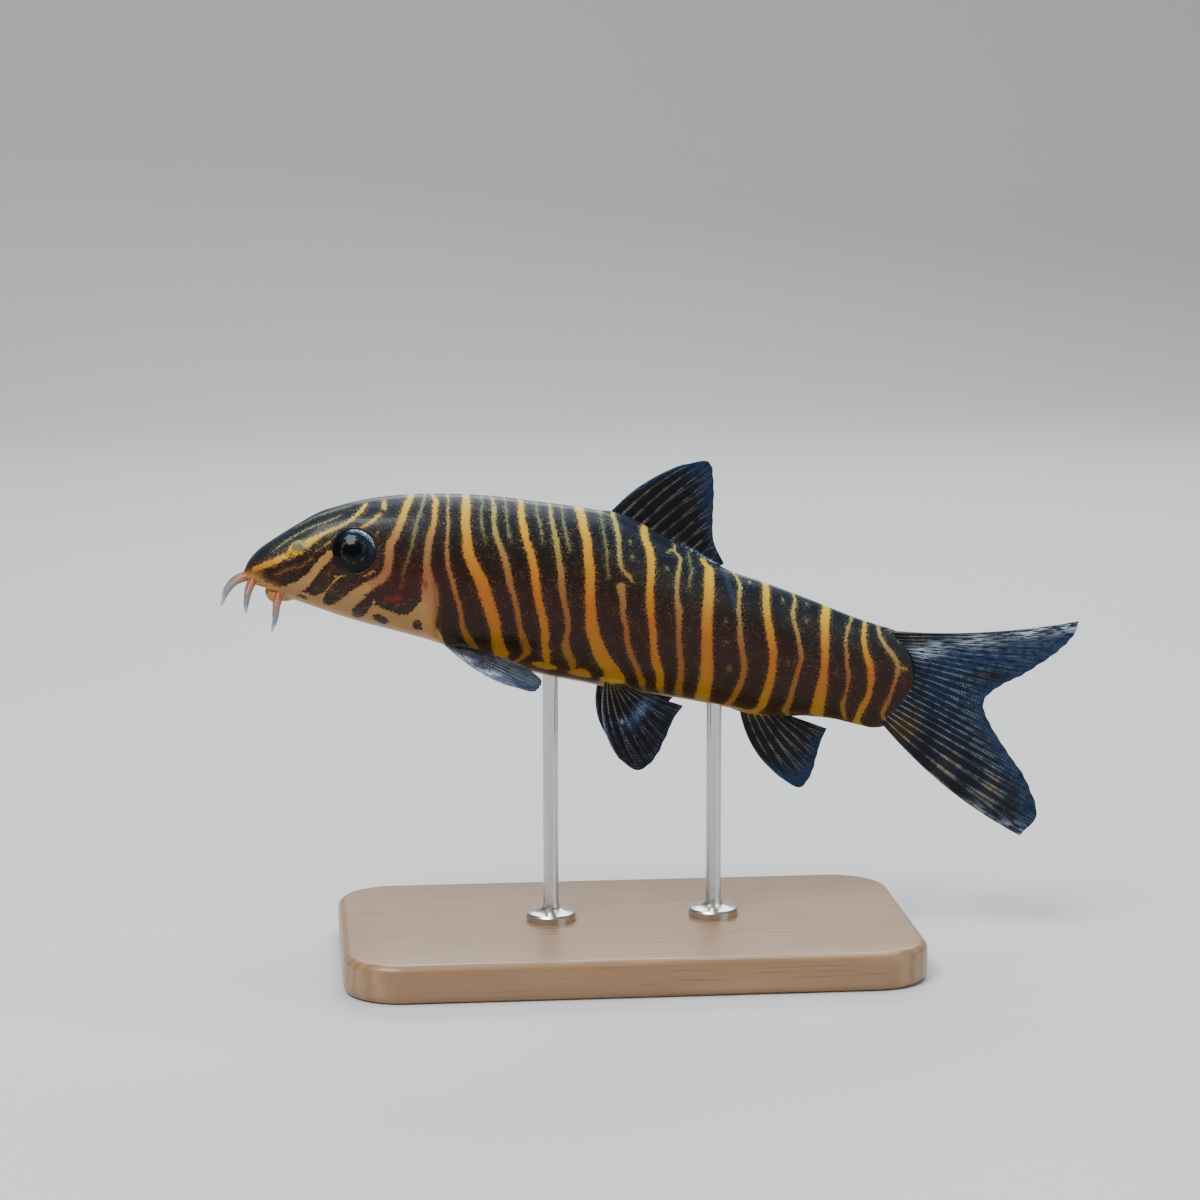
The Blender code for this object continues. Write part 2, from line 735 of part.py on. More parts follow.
fish = bpy.data.objects.new("fish", None)
MODEL.objects.link(fish)
fish.matrix_world = placement()
for child in [*flesh, *eyes, *fins, *feelers, BODY_ENVELOPE]:
    child.parent = fish
bpy.context.view_layer.update()

base = stand_base()
rods = [stand_rod("stand_rod_front", ROD_STATIONS[0]), stand_rod("stand_rod_rear", ROD_STATIONS[1])]
remove([BODY_ENVELOPE])

for piece in flesh:
    paint(piece, (0.035, 0.022, 0.016), 0.35)
    soften(piece, SOFT)
for piece in eyes:
    paint(piece, (0.01, 0.012, 0.018), 0.08)
    soften(piece, SOFT)
for piece in fins:
    paint(piece, (0.10, 0.12, 0.15), 0.4)
    soften(piece, SOFT)
for piece in feelers:
    paint(piece, (0.45, 0.30, 0.22), 0.4)
    soften(piece, SOFT)
for piece in rods:
    paint(piece, (0.62, 0.62, 0.60), 0.25, 1.0)
    soften(piece, CRISP)
paint(base, (0.42, 0.30, 0.19), 0.5)
soften(base, CRISP)
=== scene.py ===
"""Looks of the zebra loach: one skin with its markings, eyes, fins, feelers and the stand.

The fish is built in its own frame, in percent of its standard length: x runs from the snout to the base of
the tail fin, z is up, and the left side is at -y. FISH takes such a point to the frame of the solids.
"""
import math
import random

import bmesh
import bpy
import numpy as np
from mathutils import Matrix, Vector
from mathutils.bvhtree import BVHTree


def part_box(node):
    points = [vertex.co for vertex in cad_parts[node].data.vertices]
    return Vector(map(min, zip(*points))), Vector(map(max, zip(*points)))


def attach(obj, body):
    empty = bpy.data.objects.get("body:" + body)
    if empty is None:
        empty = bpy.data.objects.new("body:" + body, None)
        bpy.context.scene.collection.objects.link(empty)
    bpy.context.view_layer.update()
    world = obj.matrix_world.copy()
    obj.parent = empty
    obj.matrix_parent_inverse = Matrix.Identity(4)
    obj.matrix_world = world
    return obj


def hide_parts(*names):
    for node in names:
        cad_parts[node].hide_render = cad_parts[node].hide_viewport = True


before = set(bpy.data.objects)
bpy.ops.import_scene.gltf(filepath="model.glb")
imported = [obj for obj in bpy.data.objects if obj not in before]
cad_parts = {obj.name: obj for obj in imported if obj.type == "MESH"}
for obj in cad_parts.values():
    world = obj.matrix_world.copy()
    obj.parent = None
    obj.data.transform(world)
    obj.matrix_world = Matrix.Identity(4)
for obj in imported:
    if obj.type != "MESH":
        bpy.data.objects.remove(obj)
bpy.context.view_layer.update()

# The fish's own frame, as in the solids
PERCENT = 0.070 / 100
PITCH = math.radians(10.75)
SNOUT = (-0.0392, 0, 0.04125)
FISH = Matrix.Translation(SNOUT) @ Matrix.Rotation(PITCH, 4, "Y") @ Matrix.Scale(PERCENT, 4)

# The body: station, back, belly, half width, widest level, fullness of the upper and of the lower half
STATIONS = np.array((
    (0.0, 1.5, -0.5, 1.1, 0.5, 2.0, 2.0),
    (0.6, 2.8, -1.0, 2.1, 0.6, 2.0, 2.1),
    (1.6, 4.2, -1.2, 2.9, 0.8, 2.0, 2.2),
    (3.2, 5.8, -1.5, 3.5, 1.2, 2.0, 2.3),
    (5.5, 7.9, -2.0, 4.2, 1.8, 2.0, 2.4),
    (9.0, 10.8, -2.6, 5.0, 2.8, 2.1, 2.4),
    (12.0, 12.4, -3.1, 5.7, 3.6, 2.1, 2.4),
    (15.0, 13.7, -3.6, 6.2, 4.2, 2.1, 2.4),
    (18.5, 14.9, -4.0, 6.6, 4.4, 2.1, 2.4),
    (23.0, 16.0, -4.4, 7.1, 4.6, 2.1, 2.3),
    (28.0, 16.9, -4.9, 7.5, 4.7, 2.1, 2.3),
    (34.0, 17.6, -5.9, 7.7, 4.8, 2.1, 2.3),
    (40.0, 17.9, -6.9, 7.6, 4.8, 2.1, 2.2),
    (47.0, 18.2, -7.3, 7.2, 4.7, 2.1, 2.2),
    (52.0, 18.0, -7.4, 6.8, 4.5, 2.0, 2.2),
    (56.0, 16.8, -7.6, 6.4, 4.2, 2.0, 2.2),
    (62.0, 14.9, -7.5, 5.7, 3.6, 2.0, 2.1),
    (69.0, 12.9, -7.5, 4.8, 2.8, 2.0, 2.1),
    (76.0, 11.8, -7.7, 4.1, 2.1, 2.0, 2.0),
    (83.0, 10.5, -7.3, 3.4, 1.6, 2.0, 2.0),
    (90.0, 9.0, -6.9, 2.6, 1.1, 2.0, 2.0),
    (94.0, 8.4, -7.2, 2.1, 0.8, 2.0, 2.0),
    (96.8, 8.0, -7.3, 1.8, 0.7, 2.0, 2.0),
    (98.6, 7.1, -6.6, 1.5, 0.6, 2.0, 2.0),
    (100.2, 5.2, -4.9, 1.2, 0.6, 2.0, 2.0),
    (101.4, 2.6, -2.0, 0.8, 0.6, 2.0, 2.0),
))
BODY_END = 101.4
BEND_START = 45.0
BEND_AT_TAIL_BASE = 1.6
GILL_TOP = 22.5
GILL_BULGE = 6.3

# The head
EYE_STATION = 14.85
EYE_HEIGHT = 6.9
EYE_RADIUS = 3.75
EYE_DEPTH = 2.5
EYE_BULGE = 1.2
RIM_RADIUS = 3.38
RIM_THICKNESS = 0.24
RIM_LIFT = 0.05
MOUTH_CORNER = (5.4, 2.5, -1.5)
MOUTH_LEVEL = -1.45
NOSTRIL_STATION = 6.9
NOSTRIL_HEIGHT = 5.3
SIDE_NAMES = {"left": -1, "right": 1}

# The camera, which looks at the fish's left side from a little ahead and above
TARGET = Vector((0, 0, 0.0338))
AZIMUTH = math.radians(-6)
ELEVATION = math.radians(10)
DISTANCE = 0.346
LENS = 100
SENSOR = 36
PHOTO_SIZE = 1200
SHIFT_PX = (-26, 39)
CLIP = (0.01, 10)


# Curves and surfaces

def smooth(knots, values, x):
    """Values read at x on a smooth curve through their knots."""
    knots, values, x = (np.asarray(a, float) for a in (knots, values, x))
    columns = values.reshape(len(knots), -1)
    slopes = np.empty_like(columns)
    slopes[1:-1] = (columns[2:] - columns[:-2]) / (knots[2:] - knots[:-2])[:, None]
    slopes[0] = (columns[1] - columns[0]) / (knots[1] - knots[0])
    slopes[-1] = (columns[-1] - columns[-2]) / (knots[-1] - knots[-2])
    k = np.clip(np.searchsorted(knots, x, side="right") - 1, 0, len(knots) - 2)
    width = (knots[k + 1] - knots[k])[..., None]
    f = (np.clip(x, knots[0], knots[-1]) - knots[k])[..., None] / width
    read = columns[k] * (1 + 2 * f) * (1 - f) ** 2 + width * slopes[k] * f * (1 - f) ** 2
    read += columns[k + 1] * f * f * (3 - 2 * f) + width * slopes[k + 1] * f * f * (f - 1)
    return read.reshape(x.shape + values.shape[1:])


def along(points, u):
    """Points at shares u of a smooth curve through points that are spaced evenly in u."""
    return smooth(np.linspace(0, 1, len(points)), points, u)


def ease(low, high, value):
    """A smooth step from 0 at low to 1 at high."""
    f = np.clip((value - low) / (high - low), 0, 1)
    return f * f * (3 - 2 * f)


def bend(x):
    """How far the body swings to the right at a station."""
    return BEND_AT_TAIL_BASE * np.square(np.clip((x - BEND_START) / (100 - BEND_START), 0, None))


def section(x):
    return smooth(STATIONS[:, 0], STATIONS[:, 1:], np.clip(x, 0, BODY_END))


def surface(x, t):
    """Points of the body at station x and angle t, which is 0 on the back and pi on the belly."""
    x, t = np.broadcast_arrays(np.asarray(x, float), np.asarray(t, float))
    back, belly, half, level, upper, lower = np.moveaxis(section(x), -1, 0)
    up = np.cos(t) > 0
    power = 2 / np.where(up, upper, lower)
    height = np.where(up, back - level, level - belly)
    y = half * np.sign(np.sin(t)) * np.abs(np.sin(t)) ** power
    z = level + height * np.sign(np.cos(t)) * np.abs(np.cos(t)) ** power
    return np.stack([np.clip(x, 0, BODY_END), y + bend(x), z], -1)


def unroll(points):
    """Station and angle of points on the body or near it, the angle negative on the left side."""
    x, y, z = np.moveaxis(points, -1, 0)
    back, belly, half, level, upper, lower = np.moveaxis(section(x), -1, 0)
    up = z > level
    power = np.where(up, upper, lower) / 2
    height = np.where(up, back - level, level - belly)
    across = np.abs((y - bend(x)) / half) ** power
    rise = np.abs((z - level) / height) ** power * np.where(up, 1, -1)
    return x, np.arctan2(across, rise) * np.where(y < bend(x), -1, 1)


def outward(x, t):
    """The body's outward direction at one station and angle."""
    step = 0.05
    lengthwise = surface(x + step, t) - surface(x - step, t)
    around = surface(x, t + step) - surface(x, t - step)
    normal = np.cross(around, lengthwise)
    normal *= np.sign(normal @ (surface(x, t) - surface(x, 0) * (1, 1, 0) - (0, 0, section(x)[3])))
    return Vector(normal / np.linalg.norm(normal))


def angle_at(x, height, side):
    """The angle at which the surface of station x lies at a height, on the side -1 or 1."""
    t = np.linspace(0, math.pi, 2000)
    return side * float(np.interp(-height, -surface(x, t)[:, 2], t))


def lattice(points, around=True, capped=True):
    """Corners and quads of a surface over rows of points, which may close around and be capped."""
    rows, count = points.shape[:2]
    index = np.arange(rows * count).reshape(rows, count)
    if around:
        index = np.concatenate([index, index[:, :1]], 1)
    quads = np.stack([index[:-1, :-1], index[:-1, 1:], index[1:, 1:], index[1:, :-1]], -1).reshape(-1, 4)
    faces = quads.tolist()
    if capped:
        faces += [index[0, :count][::-1].tolist(), index[-1, :count].tolist()]
    return points.reshape(-1, 3), faces


def pipe(points, radii, rows, sides):
    """A tapered round tube through points."""
    u = np.linspace(0, 1, rows)
    line = along(points, u)
    radius = along([(r,) for r in radii], u)[:, 0]
    forward = np.gradient(line, axis=0)
    forward /= np.linalg.norm(forward, axis=1)[:, None]
    side = np.cross(forward, (0.3, 0.1, 1.0) if abs(forward[0][2]) < 0.7 else (1.0, 0.2, 0.1))
    side /= np.linalg.norm(side, axis=1)[:, None]
    other = np.cross(side, forward)
    turn = circle(sides)[None, :, None]
    spokes = side[:, None] * np.cos(turn) + other[:, None] * np.sin(turn)
    return line[:, None] + spokes * radius[:, None, None]


def circle(count):
    """The angles of points spaced evenly round a circle."""
    return np.linspace(0, 2 * math.pi, count, endpoint=False)


def facing(centre, direction, radii=(1, 1, 1)):
    """A matrix that puts a unit shape at centre, with its own z along a direction."""
    aim = Vector(direction).to_track_quat("Z", "Y").to_matrix().to_4x4()
    return Matrix.Translation(centre) @ aim @ Matrix.Diagonal((*radii, 1))


def new_object(name, data):
    made = bpy.data.objects.new(name, data)
    bpy.context.scene.collection.objects.link(made)
    return made


def as_object(name, points, faces, in_fish_frame=True):
    """A new smooth object from points, in percent of the fish's length unless in_fish_frame is off."""
    mesh = bpy.data.meshes.new(name)
    mesh.from_pydata(np.asarray(points).tolist(), [], faces)
    bm = bmesh.new()
    bm.from_mesh(mesh)
    bmesh.ops.recalc_face_normals(bm, faces=bm.faces[:])
    bm.to_mesh(mesh)
    bm.free()
    if in_fish_frame:
        mesh.transform(FISH)
    mesh.shade_smooth()
    return new_object(name, mesh)


def read(items, name, width, kind=float):
    """One property of a mesh's points or edges, in rows of width numbers."""
    flat = np.empty(len(items) * width, kind)
    items.foreach_get(name, flat)
    return flat.reshape(-1, width)


def store(mesh, name, values):
    """Keeps one number for each corner point of a mesh, for its material to read."""
    kept = mesh.attributes.new(name, "FLOAT", "POINT")
    kept.data.foreach_set("value", np.ascontiguousarray(values, np.float32))


def dress(obj, slot, material, *nodes):
    """Gives a piece its material and hides the solids that it stands for. The slot is not used."""
    obj.data.materials.clear()
    obj.data.materials.append(material)
    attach(obj, "root")
    if nodes:
        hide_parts(*nodes)


# Material graphs

class Signal:
    """A value on its way through a material's graph, and the sums that can be done on it."""

    def __init__(self, look, socket):
        self.look = look
        self.socket = socket

    def __add__(self, other):
        return self.look.math("ADD", self, other)

    def __mul__(self, other):
        return self.look.math("MULTIPLY", self, other)

    def __sub__(self, other):
        return self.look.math("SUBTRACT", self, other)

    def __rsub__(self, other):
        return self.look.math("SUBTRACT", other, self)

    def at_least(self, other):
        return self.look.math("MAXIMUM", self, other)

    def at_most(self, other):
        return self.look.math("MINIMUM", self, other)

    def step(self, low, high):
        """A smooth step from 0 at low to 1 at high."""
        inputs = {"Value": self, "From Min": low, "From Max": high}
        return self.look.node("MapRange", inputs, "Result", interpolation_type="SMOOTHSTEP")


class Look:
    """A material whose graph is built one call a node."""

    def __init__(self, name, **sockets):
        self.material = bpy.data.materials.new(name)
        self.material.use_nodes = True
        self.tree = self.material.node_tree
        self.shader = self.tree.nodes["Principled BSDF"]
        self.set(**sockets)

    def set(self, **sockets):
        for name, value in sockets.items():
            self.feed(self.shader.inputs[name.replace("_", " ")], value)

    def feed(self, socket, value):
        if isinstance(value, Signal):
            self.tree.links.new(value.socket, socket)
        elif socket.type == "RGBA":
            socket.default_value = (*value, 1)
        else:
            socket.default_value = value

    def node(self, kind, inputs, output, **settings):
        made = self.tree.nodes.new("ShaderNode" + kind)
        for name, value in settings.items():
            setattr(made, name, value)
        for socket, value in inputs.items():
            self.feed(made.inputs[socket], value)
        return Signal(self, made.outputs[output])

    def value(self, name):
        return self.node("Attribute", {}, "Fac", attribute_name=name)

    def math(self, operation, a, b=0.0):
        return self.node("Math", {0: a, 1: b}, 0, operation=operation)

    def place(self, stretch=(1, 1, 1)):
        where = self.node("TexCoord", {}, "Object")
        return self.node("Mapping", {"Vector": where, "Scale": stretch}, 0)

    def noise(self, scale, detail, stretch=(1, 1, 1)):
        inputs = {"Vector": self.place(stretch), "Scale": scale, "Detail": detail}
        return self.node("TexNoise", inputs, "Fac")

    def mix(self, share, a, b):
        return self.node("Mix", {0: share, 6: a, 7: b}, 2, data_type="RGBA")

    def ramp(self, share, *stops):
        made = self.tree.nodes.new("ShaderNodeValToRGB")
        self.feed(made.inputs[0], share)
        while len(made.color_ramp.elements) < len(stops):
            made.color_ramp.elements.new(1.0)
        for element, (place, colour) in zip(made.color_ramp.elements, stops):
            element.position = place
            element.color = (*colour, 1)
        return Signal(self, made.outputs[0])

    def bump(self, height, distance, strength, below=None):
        inputs = {"Height": height, "Distance": distance, "Strength": strength}
        if below is not None:
            inputs["Normal"] = below
        return self.node("Bump", inputs, "Normal")


# The camera, and the body that pixels of the photo are cast on

def camera():
    made = new_object("camera", bpy.data.cameras.new("camera"))
    level = math.cos(ELEVATION)
    back = Vector((math.sin(AZIMUTH) * level, -math.cos(AZIMUTH) * level, math.sin(ELEVATION)))
    made.location = TARGET + back * DISTANCE
    made.rotation_euler = back.to_track_quat("Z", "Y").to_euler()
    made.data.lens = LENS
    made.data.sensor_width = SENSOR
    made.data.shift_x, made.data.shift_y = (s / PHOTO_SIZE for s in SHIFT_PX)
    made.data.clip_start, made.data.clip_end = CLIP
    bpy.context.scene.camera = made
    bpy.context.view_layer.update()
    return made


CAMERA = camera()
MM_PER_PX = DISTANCE * SENSOR / LENS / PHOTO_SIZE * 1000
PX = MM_PER_PX / (PERCENT * 1000)


def body_rings(stations, sides):
    return surface(stations[:, None], circle(sides)[None, :])


def cast_body():
    points, faces = lattice(body_rings(np.linspace(0, BODY_END, 400), 120))
    return BVHTree.FromPolygons([FISH @ Vector(p) for p in points], faces)


CAST = cast_body()


def on_body(px, py):
    """Station and angle, counted positive, of the place on the left side that a pixel of the photo shows."""
    x = (px / PHOTO_SIZE - 0.5) * SENSOR + SHIFT_PX[0] / PHOTO_SIZE * SENSOR
    y = (0.5 - py / PHOTO_SIZE) * SENSOR + SHIFT_PX[1] / PHOTO_SIZE * SENSOR
    ray = (CAMERA.matrix_world.to_3x3() @ Vector((x, y, -LENS))).normalized()
    hit = CAST.ray_cast(CAMERA.location, ray)[0]
    if hit is None:
        hit = CAST.find_nearest(CAMERA.location + ray * (-CAMERA.location.y / ray.y))[0]
    station, angle = unroll(np.array(FISH.inverted() @ hit))
    return float(station), abs(float(angle))


# The bars, each with its strength and then x, y and width of points along it from the top down, measured in
# pixels of the photo

WIDE, THIN, FAINT = 1.0, 0.8, 0.45
BARS = (
    (WIDE, (410, 498, 6.3), (403.5, 515, 7), (396, 534, 7.5), (390, 545, 8), (386, 572, 8), (369, 586, 9),
     (350, 597, 11), (335, 606, 14)),
    (FAINT, (424, 500, 2.6), (421, 510, 3), (416, 526.5, 3.4), (412, 545, 3.2), (408, 559, 2.8),
     (404, 570, 2.5), (402, 586, 2)),
    (WIDE, (433, 496, 3.5), (436, 501, 5), (435, 508, 5), (434, 522, 5), (429.6, 539, 7), (428, 550.5, 7),
     (426.7, 565, 7), (428, 576, 10), (430, 593, 16), (429.6, 614, 16), (430, 628, 12), (436, 636.5, 10),
     (441.5, 642, 6)),
    (THIN, (448, 498, 2.3), (448, 508, 2.3), (448, 526.5, 2.8), (447, 543.5, 2.8), (447.5, 559, 3.6),
     (449, 570, 4), (454, 587, 4.6), (458.5, 603, 4.6), (461, 615, 4.2), (463, 628, 5.6), (468, 639, 8),
     (474, 648, 9)),
    (WIDE, (466, 497, 7), (466, 505, 8.5), (465.5, 519.5, 8.5), (466.6, 536, 8.5), (468, 550.5, 10.2),
     (473, 565, 10.6), (480, 579, 12), (485, 593, 12), (489.5, 607, 12), (494, 621, 12), (496, 632, 10.6),
     (498, 645, 13), (501, 653.5, 15)),
    (FAINT, (482, 500, 2.2), (483, 505, 2.2), (481, 512, 2.2), (482, 525, 2.4), (484, 536, 2),
     (485, 545, 0.4)),
    (THIN, (492, 498, 2.5), (494, 508, 4), (494, 522, 4), (496, 534, 5), (500, 546, 5), (505, 560, 6.3),
     (508, 572, 6.3), (511, 587, 5.6), (515, 601, 5), (518, 615, 5), (520, 628, 5), (523, 639, 7),
     (527, 651, 7.4), (522, 658, 4), (515, 662, 3)),
    (FAINT, (504, 498, 2), (506, 508, 2.2), (507, 522, 2.4), (509, 534, 2.6), (511, 542, 0.5)),
    (WIDE, (520.5, 501, 5), (521, 511, 6.3), (523, 525, 7), (526, 539, 7), (531, 555, 7), (534, 569, 7.8),
     (536, 583, 7.8), (538, 597, 7.8), (541, 611, 7.8), (544, 625, 7.8), (545, 636.5, 8.5), (545, 646, 6.3),
     (546, 651, 8.5)),
    (FAINT, (536, 503, 2), (537, 512, 2.2), (540, 525, 2.6), (542, 536, 2.6), (542, 543.5, 0.5)),
    (THIN, (550, 507, 2.8), (551, 517, 4.2), (554, 529, 4.2), (556.5, 543.5, 5.4), (559, 559, 5.4),
     (561, 573, 6.3), (562, 587, 6.3), (564, 601, 6), (567, 615, 5.4), (568, 628, 5.6), (566, 639, 5.6),
     (566, 649, 8.5), (572, 662, 7.8)),
    (FAINT, (562, 510, 1.8), (563.5, 521, 2.2), (566, 534, 2.6), (568.5, 545, 3), (570, 552, 0.6)),
    (WIDE, (580, 511, 9), (583, 525, 9), (587, 541, 9), (588, 555, 9), (590, 570, 10), (590, 586, 10),
     (590, 600, 10), (591, 614, 10.6), (592, 628, 12.7), (595, 639, 12.7), (599.5, 652, 14), (605, 662, 15),
     (611, 670, 15), (615, 679, 20)),
    (FAINT, (599.5, 512, 2), (602, 524, 2), (604, 536, 2.4), (607, 550.5, 2.5), (607, 565, 2.5),
     (609, 577, 3)),
    (THIN, (611, 513, 5), (615.5, 524, 5.4), (618, 535, 5.4), (619, 548, 4.5), (620, 561, 4.5),
     (623, 570.5, 3.5), (630, 577, 3.5), (632, 581, 3)),
    (THIN, (621, 587, 9), (623, 599, 6.3), (623, 613, 5.6), (626, 627, 5.4), (627.5, 641, 5.4),
     (631, 655, 5.4), (637, 668, 5.6), (642, 682, 7)),
    (WIDE, (645, 539, 8.5), (649, 548, 8.5), (651, 561, 8.5), (651, 575, 7.8), (650, 590, 7.8),
     (650, 604, 7.8), (651.5, 620, 7), (653, 634, 7), (654, 648, 7), (656, 662, 8.5), (660, 675, 8.5),
     (660, 688, 7)),
    (THIN, (675, 552, 2.5), (680, 558, 4), (680, 565, 4), (678, 575, 4.5), (677, 587, 4.5), (677, 599, 4.5),
     (679, 611, 7), (679, 624, 5.6), (679, 638, 5.6), (680, 652, 5.6), (681, 666, 6.3), (680, 679, 7),
     (678, 692, 8.5)),
    (FAINT, (690, 563.5, 2), (692, 569, 2.4), (690, 579, 2.6), (689, 589, 0.6)),
    (WIDE, (704, 563, 7), (709, 568, 9), (709, 579, 10.6), (709, 592, 10.6), (708, 606, 11), (707, 620, 11),
     (707, 634, 11), (707, 648, 11.6), (707, 662, 12.4), (706.5, 676, 13.4), (704, 689, 14),
     (702, 699, 15.5)),
    (THIN, (735, 575, 2.5), (740, 585, 4), (739, 599, 4.5), (739, 613, 4.5), (740, 624, 4.5), (740, 635, 6),
     (742, 648, 6), (744, 661, 6.3), (744, 672, 6.3), (740, 685, 6.3), (735, 695, 6.3), (728, 704.5, 7)),
    (WIDE, (766, 586, 7), (766, 599, 7.8), (767, 613, 7.4), (769, 627, 7.8), (771, 638, 8.2),
     (773, 649.5, 8.5), (773, 661, 7.8), (772, 672, 7.8), (769, 685, 9), (765, 697, 9), (759, 709, 8.5),
     (749.5, 711.5, 8), (742, 713, 8)),
    (THIN, (794, 596, 2.6), (795, 603, 3.9), (793, 611, 4.1), (794, 621, 4.1), (797, 631.5, 4.3),
     (799, 642, 4.3), (801, 652, 4.9), (801, 660, 4.9), (798, 670.5, 5.1), (795, 681, 5.1), (792, 691, 5.6),
     (789.5, 701, 6.7), (785, 710.5, 7.2)),
    (WIDE, (826, 610, 8.7), (825, 619, 9.7), (825, 629.5, 8.7), (825, 640, 8.7), (825, 650, 8.2),
     (825, 660, 8.2), (824, 670.5, 8.2), (823, 681, 9.7), (821, 691, 11.8), (819, 701, 12.8),
     (817, 711.5, 14.4)),
    (THIN, (851.5, 619, 2.3), (849, 626, 2.9), (846, 637, 2.9), (846, 646, 3.3), (847, 657, 3.3),
     (847, 665, 4.1), (848.5, 673, 4.3), (848, 681, 3.9), (847, 689, 2.9), (845, 697, 3.6), (843, 703, 5.1),
     (843, 711.5, 5.1)),
    (WIDE, (865, 625, 4.1), (864, 631.5, 5.1), (864, 642, 5.6), (866, 652, 6.2), (868.5, 660, 6.7),
     (870.5, 668.5, 6.7), (871.5, 679, 7.2), (870, 688, 6.2), (868, 697, 6.2), (863, 706, 7.2),
     (859, 714, 6.2), (856, 723, 8.2)),
    (THIN, (878, 626, 3.1), (879, 631.5, 3.6), (882, 640, 4.1), (888, 649, 4.1), (893, 655, 4.6),
     (897, 663, 4.6), (898, 669.5, 6.2), (896, 679, 4.3), (893, 687, 4.3), (890, 696, 4.3), (886, 705, 5.1),
     (882, 713, 4.6)),
)

# Short marks: lines of the snout and cheek, dashes along the belly, streaks at the tail's root, and specks
LINES = (
    (1.0, (254, 569, 5), (268, 564, 6.5), (283, 557, 6)),
    (1.0, (287, 555, 5), (296, 551, 8), (306, 544, 8), (314, 539, 6), (323, 534, 4), (346, 523, 3.6),
     (360, 512, 4), (366, 504, 4)),
    (0.6, (273, 551, 1), (285, 542, 1.8), (298, 534, 1.8), (323, 523, 1.8), (340, 516, 1)),
    (0.5, (296, 527, 0.8), (323, 514, 1.4), (349, 506, 1)),
    (0.7, (316, 551, 1.2), (329, 543, 2.6), (337, 536, 2.4)),
    (0.9, (361, 528, 2.4), (372, 521, 4), (379, 515, 3)),
    (0.9, (384, 501, 4), (384, 508, 5)),
    (0.4, (377, 532, 1.6), (375, 540, 2)),
    (0.5, (275, 575, 1.4), (289, 569, 2), (300, 567, 1.4), (312, 558, 2)),
    (0.5, (259, 576, 2), (268, 581, 3), (277, 585, 3)),
    (0.8, (898, 668.5, 4), (906, 669, 3)),
    (0.9, (535, 664, 6), (545, 666, 11), (554, 668, 6)),
    (0.9, (570, 672, 4), (581, 673, 13), (588, 676, 7)),
    (0.8, (668, 552, 2), (672, 550, 2.4), (675, 552, 2.4)),
    (0.5, (673, 693, 1.4), (700, 703, 2), (724, 706, 1.4)),
    (0.5, (795, 712.6, 1.4), (820, 718, 2), (846, 722, 1.4)),
    (0.9, (605, 680, 12), (614, 683, 15), (624, 686, 12)),
    (0.5, (378, 547, 1.4), (377, 560, 1.7), (370, 569, 1.9), (358, 574.6, 2), (345, 573, 1.7),
     (337, 567, 1.2)),
    (1.0, (289, 552, 4), (294, 547, 6), (301, 552, 5)),
    (0.45, (890, 626, 0.8), (903, 631, 1.4), (918, 637, 1.2)),
    (0.45, (889, 629, 0.8), (902, 636, 1.4), (919, 643, 1.2)),
    (0.45, (893, 634, 0.8), (904, 641, 1.4), (919, 649, 1.2)),
    (0.45, (899, 641, 0.8), (908, 647, 1.2), (918, 653, 1)),
)
SPECKS = (
    (630, 541, 2.2), (632, 556, 2.2), (667, 568, 2.4), (749.5, 582, 2.2), (783, 599, 2.2), (806, 603, 2.2),
    (806, 620, 2), (726, 620, 1.8), (726, 642, 2.2), (729, 668, 5), (779, 659, 1.3), (788, 661, 1.3),
    (794, 662, 1.1), (808, 666, 1.1), (817, 667.5, 1.3), (835, 672.6, 1.1), (843, 674, 1.1), (852, 676, 1),
)

# The pale cheek and throat, the dark patches on them, and the red ones
PALE = (
    ((283, 591, 11), (301, 585, 11), (313, 574, 8), (323, 561, 8), (330, 554, 8)),
    ((335, 606, 12), (350, 598, 10), (366, 588, 9)),
    ((321, 600, 3), (329, 588, 3.4), (338, 578, 3)),
    ((327, 575, 2), (338, 577, 2.4), (347, 576, 2.6), (362, 576, 2.2), (374, 571, 2)),
)
DARK = (
    ((297, 595, 3), (305, 597.5, 5)),
    ((331, 571, 8), (322.7, 581.5, 15), (313.4, 593, 8)),
    ((361, 578.4, 5), (348.8, 583, 15), (336.5, 592.3, 17), (328, 601.5, 11)),
    ((368.8, 600, 9), (359.6, 610.7, 14), (356.5, 615.3, 9)),
    ((378, 603, 8), (392, 607, 11), (403, 609, 14), (412, 603, 11)),
    ((378, 617.5, 10), (382, 620.5, 13)),
    ((417.5, 623.5, 9), (417.5, 627, 10)),
)
RED = (
    ((423.5, 580, 3), (426, 585, 4.5), (427, 589, 3)),
    ((386, 599, 4), (394, 598.5, 5.5), (401, 598, 4)),
    ((400, 588, 2), (402, 580, 2)),
)

# The blue lappet at the dorsal fin's rear root
BLUE = (
    ((700, 556, 2), (712, 562, 3), (722, 569, 4), (729, 585, 4), (735, 606, 2)),
)

# The upper limit of the pale throat, from the mouth to the root of the pectoral fin, in pixels of the photo
THROAT = (
    (256, 577), (266, 582), (280, 588), (307, 593), (332, 592), (353, 590), (369, 597), (384, 604),
    (394, 610), (404, 614), (412, 611), (418, 603), (425, 602), (436, 629), (446, 640),
)

# Behind it the belly is pale below a share of the half turn from back to belly, up to a station
BELLY_LIMIT = 0.90
PALE_BELLY_END = 75
PALE_BELLY_FADE = 8

# The seed of the right side's sway, how far apart a mark's points lie, and how far off its distance is kept
SEED = 7
SPACING = 0.18
REACH = 2.2
FAR = 2.0

